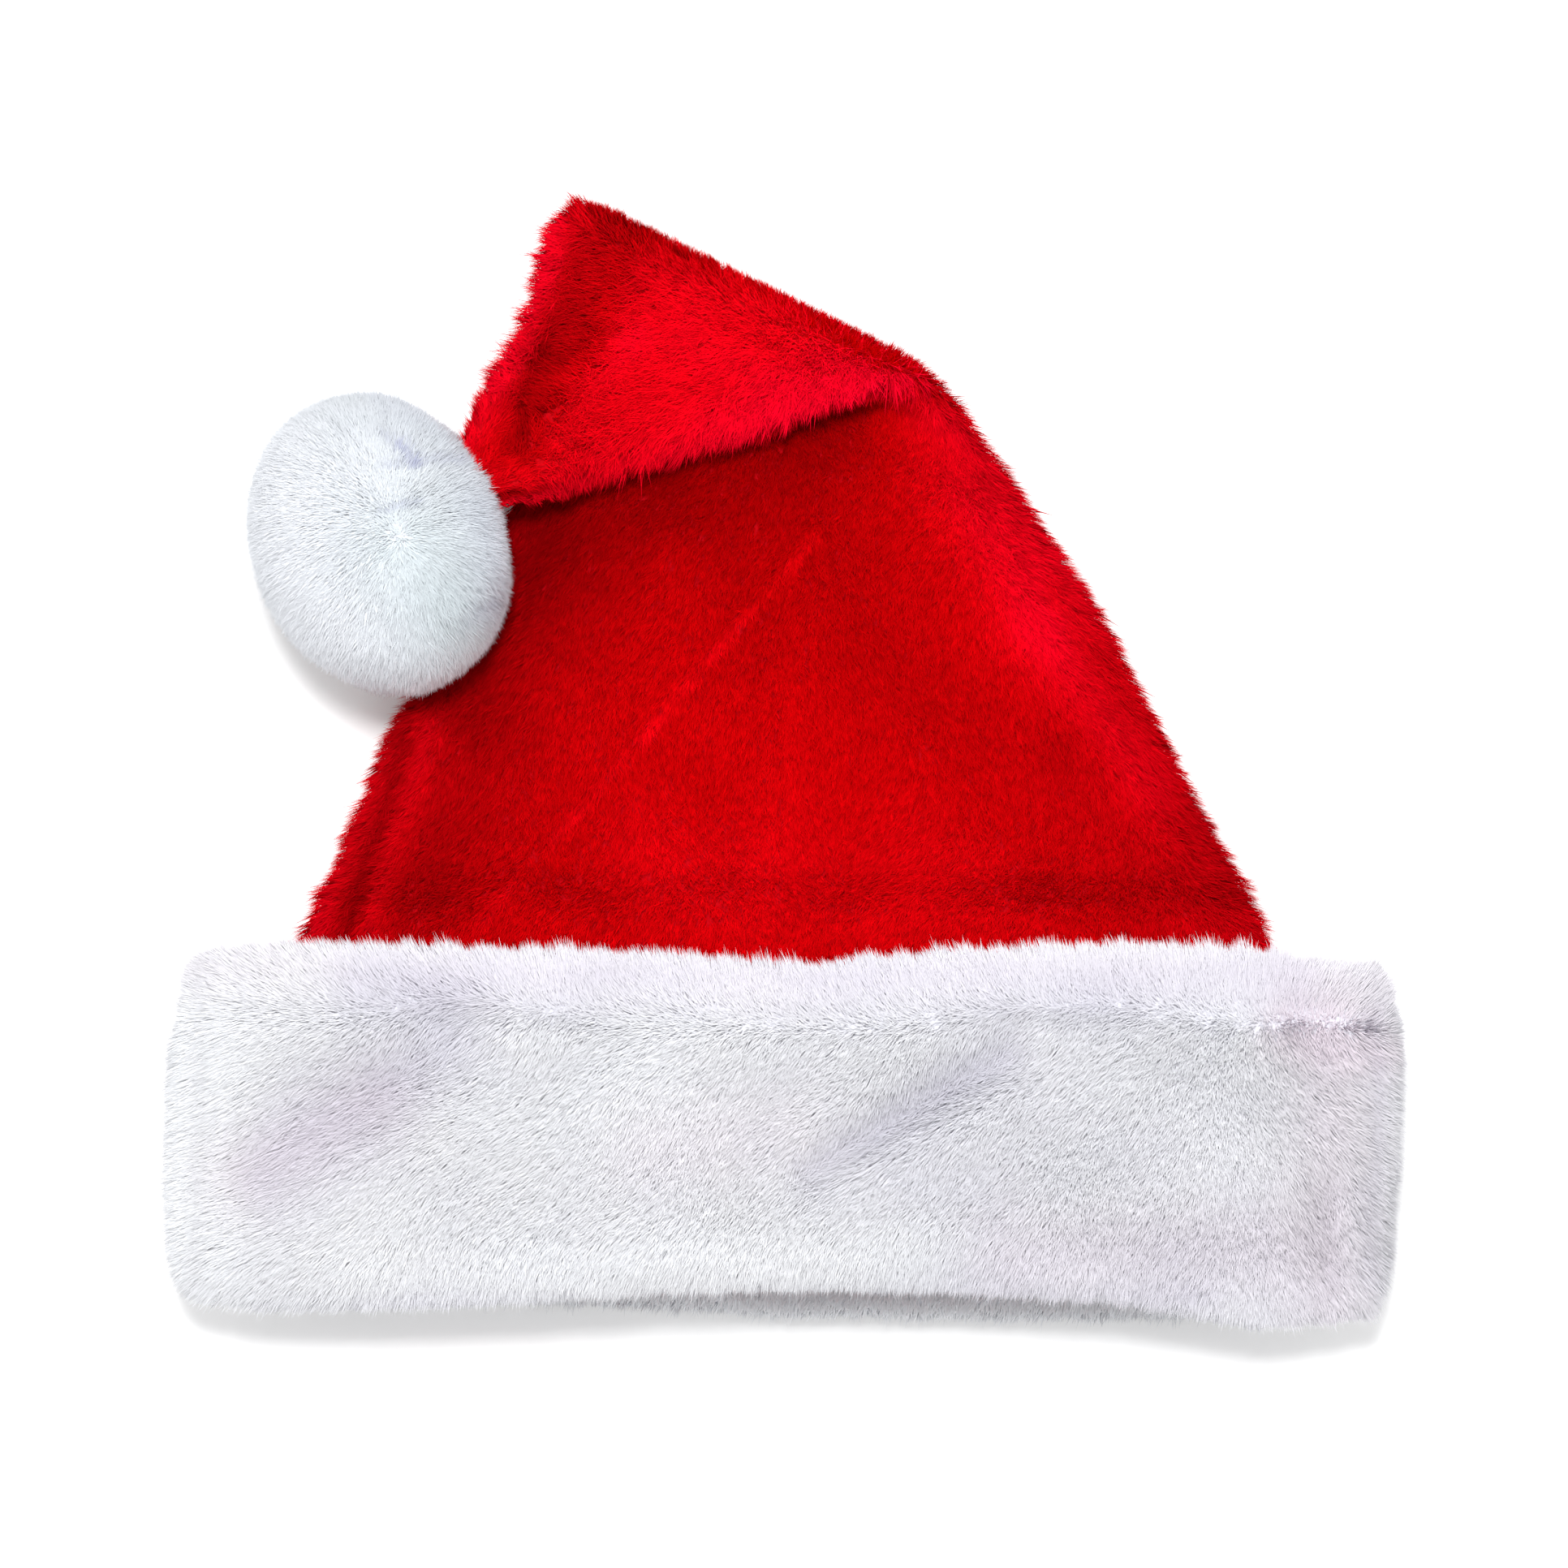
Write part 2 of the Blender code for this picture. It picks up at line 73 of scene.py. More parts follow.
class Term:
    """A value in a material, on which Python's operators add Math nodes."""

    def __init__(self, paint: "Paint", socket: bpy.types.NodeSocket) -> None:
        """Wraps a socket.

        Args:
            paint: the material that the socket is in.
            socket: an output of one of its nodes.
        """
        self.paint = paint
        self.socket = socket

    def _with(self, operation: str, first: "Term | float", second: "Term | float") -> "Term":
        """A Math node on two values."""
        return self.paint.add("ShaderNodeMath", {"operation": operation}, {0: first, 1: second})

    def __add__(self, other: "Term | float") -> "Term":
        """The sum."""
        return self._with("ADD", self, other)

    def __radd__(self, other: float) -> "Term":
        """The sum, with a number first."""
        return self._with("ADD", other, self)

    def __sub__(self, other: "Term | float") -> "Term":
        """The difference."""
        return self._with("SUBTRACT", self, other)

    def __rsub__(self, other: float) -> "Term":
        """The difference, with a number first."""
        return self._with("SUBTRACT", other, self)

    def __mul__(self, other: "Term | float") -> "Term":
        """The product."""
        return self._with("MULTIPLY", self, other)

    def __rmul__(self, other: float) -> "Term":
        """The product, with a number first."""
        return self._with("MULTIPLY", other, self)

    def __pow__(self, other: "Term | float") -> "Term":
        """The power."""
        return self._with("POWER", self, other)

    def within(self, low: float, high: float) -> "Term":
        """The value brought from low..high to 0..1, and kept there."""
        inputs = {"Value": self, "From Min": low, "From Max": high}
        return self.paint.add("ShaderNodeMapRange", {"clamp": True}, inputs)


class Paint:
    """A material in the making, round one Principled shader."""

    def __init__(self, name: str) -> None:
        """Starts a material.

        Args:
            name: what it is called.
        """
        self.material = bpy.data.materials.new(name)
        self.material.use_nodes = True
        self.tree = self.material.node_tree
        self.shader = self.tree.nodes["Principled BSDF"]

    def add(
        self,
        kind: str,
        settings: dict[str, object] | None = None,
        inputs: dict[str | int, object] | None = None,
        output: str | int = 0,
    ) -> Term:
        """Adds a node.

        Args:
            kind: the node's type.
            settings: its own settings, set first.
            inputs: the values or links of its sockets, by name or place.
            output: which of its outputs to return.

        Returns:
            The output, as a value to go on with.
        """
        node = self.tree.nodes.new(kind)
        for name, value in (settings or {}).items():
            setattr(node, name, value)
        for name, value in (inputs or {}).items():
            self.feed(node.inputs[name], value)
        return Term(self, node.outputs[output])

    def feed(self, socket: bpy.types.NodeSocket, value: object) -> None:
        """Links a value to a socket, or sets it there.

        Args:
            socket: an input.
            value: a term, a number, a colour or a vector.
        """
        if isinstance(value, Term):
            self.tree.links.new(value.socket, socket)
        elif isinstance(value, tuple) and socket.type == "RGBA":
            socket.default_value = (*value, 1.0)
        else:
            socket.default_value = value

    def blend(self, share: Term | float, low: object, high: object, how: Blend = Blend.MIX) -> Term:
        """Mixes two colours.

        Args:
            share: how much of the second one shows.
            low: the first colour.
            high: the second colour.
            how: the way in which it goes over the first.

        Returns:
            The mixed colour.
        """
        node = self.tree.nodes.new("ShaderNodeMix")
        node.data_type = "RGBA"
        node.blend_type = how.value
        colours = [s for s in node.inputs if s.type == "RGBA"]
        self.feed(node.inputs[0], share)
        self.feed(colours[0], low)
        self.feed(colours[1], high)
        return Term(self, next(s for s in node.outputs if s.type == "RGBA"))

    def noise(self, scale: float, detail: float = 2.0, rough: float = 0.5) -> Term:
        """Noise in the hat's own coordinates.

        Args:
            scale: how many times it repeats in a metre.
            detail: how many finer layers it has.
            rough: how strong these are.

        Returns:
            The noise, from 0 to 1.
        """
        where = self.add("ShaderNodeTexCoord", output="Object")
        inputs = {"Vector": where, "Scale": scale, "Detail": detail, "Roughness": rough}
        return self.add("ShaderNodeTexNoise", {}, inputs)

    def attribute(self, name: str) -> Term:
        """A value stored on the mesh.

        Args:
            name: the attribute's name.

        Returns:
            Its value.
        """
        return self.add("ShaderNodeAttribute", {"attribute_name": name}, output="Fac")

    def finish(self, constants: dict[str, object], **varying: Term) -> bpy.types.Material:
        """Sets the shader.

        Args:
            constants: what is the same all over, by the socket's name.
            varying: what changes over the surface, by the socket's name in lower case.

        Returns:
            The finished material.
        """
        for name, value in constants.items():
            self.feed(self.shader.inputs[name], value)
        for name, value in varying.items():
            self.feed(self.shader.inputs[name.replace("_", " ").title()], value)
        return self.material


@dataclass(frozen=True)
class PileFinish:
    """The finish of pile: the strands of plush or fur."""

    name: str
    slot: str
    # root is darker than tip: painted shade deep in the pile
    root: Colour
    tip: Colour
    dark: Colour  # multiplies the colour as painted shade
    light: Colour  # takes its place as painted light
    blush: Colour  # multiplies it in tinted places, on the crown's brightest pile as a pink painted highlight
    patch: Colour  # multiplies it in faint patches all over
    sheen: float
    sheen_tint: Colour
    shine: float
    fleck: float  # how much darker some strands are than others
    rough: float

    def material(self) -> bpy.types.Material:
        """Makes the material.

        Returns:
            Strands that brighten towards their tips, as painted shade deep in the pile, each with a
            shade of its own.
        """
        paint = Paint(self.name)
        strand, tone = paint.attribute("strand"), paint.attribute("tone")
        # Darker towards the root: painted shade deep in the pile.
        colour = paint.blend(paint.attribute("reach") ** 0.8, self.root, self.tip)
        patches = paint.noise(46.0, 3.0, 0.6).within(0.36, 0.66)
        colour = paint.blend(patches * 0.55, colour, self.patch, Blend.MULTIPLY)
        # Painted shade where the tone is above 0, and painted light where it is below 0.
        colour = paint.blend(tone.within(0, 1), colour, self.dark, Blend.MULTIPLY)
        colour = paint.blend((0.0 - tone).within(0, 1), colour, self.light)
        # A tint, which on the crown's brightest pile is a pink painted highlight.
        colour = paint.blend(paint.attribute("blush"), colour, self.blush, Blend.MULTIPLY)
        deep = (1.0 - strand) * self.fleck
        colour = paint.blend(deep, colour, (0.5, 0.5, 0.5), Blend.MULTIPLY)
        constants = {
            "Sheen Weight": self.sheen,
            "Sheen Roughness": 0.45,
            "Sheen Tint": self.sheen_tint,
            "Specular IOR Level": self.shine,
        }
        roughness = self.rough + strand * 0.2
        return paint.finish(constants, base_color=colour, roughness=roughness)


@dataclass(frozen=True)
class ClothFinish:
    """The finish of the knitted cloth that the pile is worked into."""

    name: str
    slot: str
    colour: Colour
    dark: Colour
    loops: float  # knitted loops in a metre

    def material(self) -> bpy.types.Material:
        """Makes the material.

        Returns:
            A fine knit, with loops that show as low relief.
        """
        paint = Paint(self.name)
        where = paint.add("ShaderNodeTexCoord", output="Object")
        inputs = {"Vector": where, "Scale": self.loops, "Randomness": 0.35}
        loops = paint.add("ShaderNodeTexVoronoi", {}, inputs).within(0.1, 0.7)
        patches = paint.noise(60.0, 4.0, 0.6)
        # Darker where the loops' relief is low, as painted shade between the loops, and in random
        # patches.
        colour = paint.blend(loops * 0.5 + patches * 0.4, self.colour, self.dark)
        relief = 1.0 - loops
        bump = paint.add(
            "ShaderNodeBump", {}, {"Strength": 0.6, "Distance": 0.3 * MM, "Height": relief}
        )
        constants = {"Specular IOR Level": 0.05}
        return paint.finish(
            constants, base_color=colour, roughness=0.75 + patches * 0.2, normal=bump
        )


RED_PILE = PileFinish(
    "red_pile", "red_plush", root=(0.46, 0.0004, 0.0012), tip=(0.82, 0.0010, 0.003),
    dark=(0.55, 0.5, 0.5), light=(1.0, 0.0016, 0.007), blush=(1.0, 1.2, 3.4),
    patch=(0.88, 0.8, 0.8), sheen=0.0, sheen_tint=(1.0, 0.02, 0.06), shine=0.0, fleck=0.90,
    rough=0.65,
)
WHITE_PILE = PileFinish(
    "white_pile", "white_plush", root=(0.71, 0.71, 0.74), tip=(0.775, 0.78, 0.80),
    dark=(0.85, 0.83, 0.89), light=(0.87, 0.885, 0.91), blush=(0.97, 0.87, 0.92),
    patch=(0.98, 0.985, 1.0), sheen=0.1, sheen_tint=(0.97, 0.98, 1.0), shine=0.05, fleck=0.08,
    rough=0.7,
)
POMPOM_PILE = PileFinish(
    "pompom_pile", "white_plush", root=(0.63, 0.655, 0.69), tip=(0.67, 0.70, 0.735),
    dark=(0.58, 0.58, 0.78), light=(0.82, 0.84, 0.88), blush=(0.93, 0.98, 0.965),
    patch=(0.98, 0.995, 1.0), sheen=0.1, sheen_tint=(0.96, 0.99, 1.0), shine=0.05, fleck=0.08,
    rough=0.7,
)
RED_CLOTH = ClothFinish(
    "red_cloth", "red_plush", colour=(0.52, 0.001, 0.005), dark=(0.36, 0.0, 0.003), loops=900.0
)
WHITE_CLOTH = ClothFinish(
    "white_cloth", "white_plush", colour=(0.80, 0.80, 0.84), dark=(0.62, 0.62, 0.68), loops=900.0
)


def dress(pieces: list[bpy.types.Object], finish: PileFinish | ClothFinish) -> None:
    """Gives pieces one finish.

    Args:
        pieces: the pieces.
        finish: their finish.
    """
    material = finish.material()
    for piece in pieces:
        piece.data.materials.append(material)


# Form


@dataclass(frozen=True)
class SoftLine:
    """A line seen from above, along which the upper side is lower, or its pile has painted shade.

    Its amount is a depth in metres or a share of painted shade, and below 0 it is a ridge or a
    streak of painted light.
    """

    start: Place
    end: Place
    width: float
    amount: float


@dataclass(frozen=True)
class Section:
    """The crown across its width at one place, as it lies seen from above."""

    left: Place
    right: Place
    mid_z: float
    half: float  # half its thickness
    square: float  # 2 is an ellipse, and more is a flatter pillow
    tilt: float  # how far it is turned over, in degrees
    steps: int  # rows of the solid that follow it


def sum_of_lines(x: np.ndarray, y: np.ndarray, lines: tuple[SoftLine, ...]) -> np.ndarray:
    """What soft lines add up to.

    Args:
        x: places along the cuff.
        y: places towards the fold.
        lines: the lines.

    Returns:
        Their sum at each place.
    """
    total = np.zeros_like(x)
    for line in lines:
        start, end = np.array(line.start), np.array(line.end)
        run = end - start
        share = np.clip(((x - start[0]) * run[0] + (y - start[1]) * run[1]) / (run @ run), 0, 1)
        away = (x - start[0] - share * run[0]) ** 2 + (y - start[1] - share * run[1]) ** 2
        total = total + line.amount * np.exp(-away / line.width**2)
    return total


@dataclass(frozen=True)
class Waves:
    """Soft waves over a cloth, or clumps in its pile."""

    size: float  # the length of a wave
    seed: int
    layers: int = 7
    crest: float = 4.2  # how high the layers seldom add up to

    def at(self, x: np.ndarray, y: np.ndarray) -> np.ndarray:
        """How high the waves are.

        Args:
            x: places along the cuff.
            y: places towards the fold.

        Returns:
            Their height at each place, from about -1 to 1.
        """
        rng = np.random.default_rng(self.seed)
        total = np.zeros_like(x)
        for _ in range(self.layers):
            turn = rng.uniform(0, 2 * math.pi)
            pace = 2 * math.pi / (self.size * rng.uniform(0.7, 1.5))
            shift = rng.uniform(0, 2 * math.pi)
            total = total + np.sin((x * math.cos(turn) + y * math.sin(turn)) * pace + shift)
        return total / self.crest


def smooth_between(values: np.ndarray, places: np.ndarray, steps: list[int]) -> np.ndarray:
    """A curve through values that never runs past them.

    Args:
        values: the values to go through, in rows.
        places: where each row is, which sets how fast the curve turns.
        steps: how many steps follow each row.

    Returns:
        The curve's rows, the first and last included.
    """
    gap = np.maximum(np.linalg.norm(np.diff(places, axis=0), axis=1), 0.0005)[:, None]
    slope = np.diff(values, axis=0) / gap
    first, second = slope[:-1], slope[1:]
    agree = first * second > 0
    near, far = 2 * gap[1:] + gap[:-1], gap[1:] + 2 * gap[:-1]
    inner = (near + far) / (near / np.where(agree, first, 1) + far / np.where(agree, second, 1))
    lean = np.concatenate((slope[:1], np.where(agree, inner, 0), slope[-1:]))
    found = []
    for i, count in enumerate(steps):
        for step in range(count):
            s = step / count
            found.append(
                values[i] * (1 + 2 * s) * (1 - s) ** 2
                + values[i + 1] * s**2 * (3 - 2 * s)
                + gap[i] * (lean[i] * s * (1 - s) ** 2 - lean[i + 1] * s**2 * (1 - s))
            )
    return np.array([*found, values[-1]])


def superellipse(turn: np.ndarray, square: float) -> tuple[np.ndarray, np.ndarray]:
    """Points on a flattened section.

    Args:
        turn: how far round the section each point is.
        square: 2 is an ellipse, and more is a flatter pillow.

    Returns:
        How far across and through it each point lies, from -1 to 1.
    """
    across = np.sign(np.cos(turn)) * np.abs(np.cos(turn)) ** (2 / square)
    through = np.sign(np.sin(turn)) * np.abs(np.sin(turn)) ** (2 / square)
    return across, through


def pillow(
    width: float, depth: float, square: float, count: int
) -> tuple[np.ndarray, np.ndarray]:
    """Points at nearly even steps round a flattened section, closer together at its ends.

    Args:
        width: its width.
        depth: its thickness.
        square: 2 is an ellipse, and more is a flatter pillow.
        count: how many points.

    Returns:
        How far across and through it each point lies, from -1 to 1.
    """
    quarter_degrees, closer = 1440, 1.6
    turn = np.linspace(0, 2 * math.pi, quarter_degrees + 1)
    across, through = superellipse(turn, square)
    steps = np.hypot(np.diff(across) * width, np.diff(through) * depth * closer)
    length = np.concatenate(([0.0], np.cumsum(steps)))
    even = np.interp(np.arange(count) * length[-1] / count, length, turn)
    return superellipse(even, square)


def outward_of(points: np.ndarray) -> np.ndarray:
    """The outward direction at each point of a lattice.

    Args:
        points: rows of points, each row closed round the piece.

    Returns:
        Unit vectors.
    """
    around = np.roll(points, -1, axis=1) - np.roll(points, 1, axis=1)
    along = np.gradient(points, axis=0)
    found = np.cross(along, around)
    return found / np.maximum(np.linalg.norm(found, axis=2, keepdims=True), 1e-12)


def unit(vectors: np.ndarray) -> np.ndarray:
    """The vectors at length 1."""
    return vectors / np.maximum(np.linalg.norm(vectors, axis=-1, keepdims=True), 1e-12)


def triangles(quads: np.ndarray) -> np.ndarray:
    """Two triangles for each quad."""
    return np.concatenate((quads[:, [0, 1, 2]], quads[:, [0, 2, 3]]))


def points_of(mesh: bpy.types.Mesh) -> np.ndarray:
    """The points of a mesh, in rows.

    Args:
        mesh: the mesh.

    Returns:
        One row for each point.
    """
    flat = np.empty(len(mesh.vertices) * 3, np.float32)
    mesh.vertices.foreach_get("co", flat)
    return flat.reshape(-1, 3).astype(float)


def lattice_faces(rows: int, around: int) -> np.ndarray:
    """The faces of a lattice whose rows are closed.

    Args:
        rows: how many rows it has.
        around: how many points are in each.

    Returns:
        Four point numbers for each face.
    """
    row, place = np.mgrid[0 : rows - 1, 0:around]
    after = (place + 1) % around
    corners = (row * around + place, row * around + after)
    upper = ((row + 1) * around + after, (row + 1) * around + place)
    return np.stack((*corners, *upper), axis=-1).reshape(-1, 4)


def mesh_object(name: str, points: np.ndarray, faces: np.ndarray) -> bpy.types.Object:
    """A mesh object from arrays.

    Args:
        name: what it is called.
        points: its points.
        faces: the point numbers of each face, all with as many corners.

    Returns:
        The object, in the scene.
    """
    corners = faces.shape[1]
    mesh = bpy.data.meshes.new(name)
    mesh.vertices.add(len(points))
    mesh.vertices.foreach_set("co", points.astype(np.float32).ravel())
    mesh.loops.add(faces.size)
    mesh.loops.foreach_set("vertex_index", faces.astype(np.int32).ravel())
    mesh.polygons.add(len(faces))
    mesh.polygons.foreach_set("loop_start", np.arange(0, faces.size, corners, dtype=np.int32))
    mesh.update(calc_edges=True)
    made = bpy.data.objects.new(name, mesh)
    bpy.context.scene.collection.objects.link(made)
    return made


def close_up(made: bpy.types.Object) -> None:
    """Merges doubles, closes what is open, turns the faces outwards, and shades them smooth.

    Args:
        made: a mesh object.
    """
    bm = bmesh.new()
    bm.from_mesh(made.data)
    bmesh.ops.remove_doubles(bm, verts=bm.verts, dist=0.01 * MM)
    open_edges = [edge for edge in bm.edges if edge.is_boundary]
    if open_edges:
        bmesh.ops.holes_fill(bm, edges=open_edges)
    bmesh.ops.recalc_face_normals(bm, faces=bm.faces)
    bm.to_mesh(made.data)
    bm.free()
    made.data.shade_smooth()


# Pile


@dataclass
class Ground:
    """Cloth that pile grows from, with what the pile needs to know at each of its points."""

    points: np.ndarray
    faces: np.ndarray
    outward: np.ndarray
    nap: np.ndarray
    height: np.ndarray
    tone: np.ndarray
    blush: np.ndarray

    def picked(self, mask: np.ndarray) -> "Ground":
        """The part of it whose points are in a mask.

        Args:
            mask: which points.

        Returns:
            The same ground with fewer faces.
        """
        return replace(self, faces=self.faces[mask[self.faces].all(axis=1)])


@dataclass
class Tufts:
    """Tufts of pile, or the strands in them, in rows: where they stand, and how."""

    foot: np.ndarray
    out: np.ndarray  # away from the cloth
    flow: np.ndarray  # the way in which they lean
    cross: np.ndarray
    height: np.ndarray
    lean: np.ndarray
    shade: np.ndarray
    tone: np.ndarray
    blush: np.ndarray

    def repeated(self, count: int) -> "Tufts":
        """The same with a row for each of a tuft's strands."""
        return Tufts(*(np.repeat(getattr(self, f.name), count, axis=0) for f in fields(self)))


@dataclass(frozen=True)
class Pile:
    """How pile stands: its strands are tapered, lean along the nap and close up in small tufts."""

    density: float  # strands to a square millimetre
    width: float  # of a strand at its foot
    lean: float  # how far a strand runs along the cloth, as a share of its height
    tuft: int  # strands to a tuft
    spread: float  # how wide a tuft is at its foot
    gather: float  # how much of that is left at its tips
    ruffle: float  # how unruly the strands are
    roll: float  # how far they are turned about their own length
    most: int  # strands at the most
    soft: float = 0.55  # how far they are lit as the cloth is
    own_shade: float = 0.30  # how much of a strand's shade is its own, and not its tuft's
    sway: float = 0.35  # how far unruly tufts turn from the nap, in radians
    stray: float = 0.20  # how far unruly tips are from their places, as a share of the height
    stray_up: float = 0.3  # how much of that they rise or drop
    heights: Range = (0.86, 1.14)  # of the tufts, as shares of the pile's
    leans: Range = (0.75, 1.25)
    rises: Range = (0.72, 1.08)  # of the strands, as shares of their tuft's height
    widths: Range = (0.7, 1.25)

    def grow(self, name: str, ground: Ground, seed: int) -> bpy.types.Object:
        """Grows the pile.

        Args:
            name: the piece's name.
            ground: where it grows.
            seed: which pile.

        Returns:
            One mesh of all the strands.
        """
        rng = np.random.default_rng(seed)
        strands = self._tufts(ground, rng).repeated(self.tuft)
        count = len(strands.foot)
        corners = self._corners(strands, rng)
        made = mesh_object(name, corners, np.arange(count * 3).reshape(-1, 3))
        self._store(made, "reach", np.tile((0.0, 0.0, 1.0), count))
        own = rng.uniform(0, 1, count)
        shade = strands.shade * (1 - self.own_shade) + own * self.own_shade
        self._store(made, "strand", np.repeat(shade, 3))
        self._store(made, "tone", np.repeat(strands.tone, 3))
        self._store(made, "blush", np.repeat(strands.blush, 3))
        self._soften(made, strands.out)
        return made

    def _tufts(self, ground: Ground, rng: np.random.Generator) -> Tufts:
        """Spreads tufts evenly over the cloth.

        Args:
            ground: where they grow.
            rng: what draws their places.

        Returns:
            The tufts.
        """
        corners = ground.points[ground.faces]
        first, second = corners[:, 1] - corners[:, 0], corners[:, 2] - corners[:, 0]
        area = np.linalg.norm(np.cross(first, second), axis=1) / 2 / MM**2
        total = np.cumsum(area)
        count = int(min(total[-1] * self.density, self.most) / self.tuft)
        pick = np.searchsorted(total, rng.uniform(0, total[-1], count))
        shares = rng.dirichlet((1, 1, 1), count)

        def at(values: np.ndarray) -> np.ndarray:
            """The values at each tuft's foot."""
            found = values[ground.faces[pick]]
            return (found * (shares if found.ndim == 2 else shares[..., None])).sum(axis=1)

        out, nap = unit(at(ground.outward)), at(ground.nap)
        along = nap - out * (nap * out).sum(axis=1, keepdims=True)
        straight = unit(along)
        across = np.cross(out, straight)
        sway = rng.normal(0, self.sway * self.ruffle, (count, 1))
        height = at(ground.height) * rng.uniform(*self.heights, count)
        lean = self.lean * rng.uniform(*self.leans, count)
        return Tufts(
            foot=at(ground.points),
            out=out,
            flow=straight * np.cos(sway) + across * np.sin(sway),
            cross=across * np.cos(sway) - straight * np.sin(sway),
            height=height,
            lean=lean * np.minimum(np.linalg.norm(along, axis=1), 1),
            shade=rng.uniform(0, 1, count),
            tone=at(ground.tone),
            blush=at(ground.blush),
        )

    def _corners(self, strands: Tufts, rng: np.random.Generator) -> np.ndarray:
        """The corners of the strands: two at the foot of each, and one at its tip.

        Args:
            strands: the strands.
            rng: what draws how unruly they are.

        Returns:
            Three rows for each strand.
        """
        count = len(strands.foot)
        flow, cross = strands.flow, strands.cross
        height, lean = strands.height[:, None], strands.lean[:, None]
        stray = rng.normal(0, self.spread / 2, (2, count, 1))
        root = strands.foot + flow * stray[0] + cross * stray[1]
        loose = rng.normal(0, self.stray * self.ruffle, (3, count, 1)) * height
        rise = height * rng.uniform(*self.rises, (count, 1))
        tip = strands.foot + (flow * stray[0] + cross * stray[1]) * self.gather
        tip = tip + strands.out * (rise + loose[2] * self.stray_up)
        tip = tip + flow * (rise * lean + loose[0]) + cross * loose[1]
        root[:, 2] = np.maximum(root[:, 2], FOOT_RISE)
        tip[:, 2] = np.maximum(tip[:, 2], TIP_RISE)
        run = tip - root
        side = unit(np.cross(run, strands.out))
        roll = rng.normal(0, self.roll, (count, 1))
        side = side * np.cos(roll) + np.cross(unit(run), side) * np.sin(roll)
        half = side * self.width / 2 * rng.uniform(*self.widths, (count, 1))
        corners = np.stack((root - half, root + half, tip), axis=1).reshape(-1, 3)
        corners[:, 2] = np.maximum(corners[:, 2], STRAND_RISE)
        return corners

    def _soften(self, made: bpy.types.Object, out: np.ndarray) -> None:
        """Lets the strands take the light as the cloth under them would, as soft pile does.

        Args:
            made: the pile.
            out: the cloth's outward direction at each strand.
        """
        flat = np.empty(len(made.data.polygons) * 3, np.float32)
        made.data.polygons.foreach_get("normal", flat)
        own = flat.reshape(-1, 3)
        own = own * np.where((own * out).sum(axis=1, keepdims=True) < 0, -1.0, 1.0)
        shaded = unit(own * (1 - self.soft) + out * self.soft)
        made.data.shade_smooth()
        made.data.normals_split_custom_set_from_vertices(np.repeat(shaded, 3, axis=0))

    @staticmethod
    def _store(made: bpy.types.Object, name: str, values: np.ndarray) -> None:
        """Stores a value for each point of a mesh."""
        layer = made.data.attributes.new(name, "FLOAT", "POINT")
        layer.data.foreach_set("value", values.astype(np.float32))


# The hat's parts


@dataclass
class Part:
    """One of the hat's parts."""

    pieces: list[bpy.types.Object] = field(default_factory=list)

    def carry(self, pieces: list[bpy.types.Object]) -> None:
        """Takes pieces as the part's own, and lets them ride on the hat's body.

        Args:
            pieces: the pieces.
        """
        self.pieces = pieces
        for made in self.pieces:
            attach(made, "root")


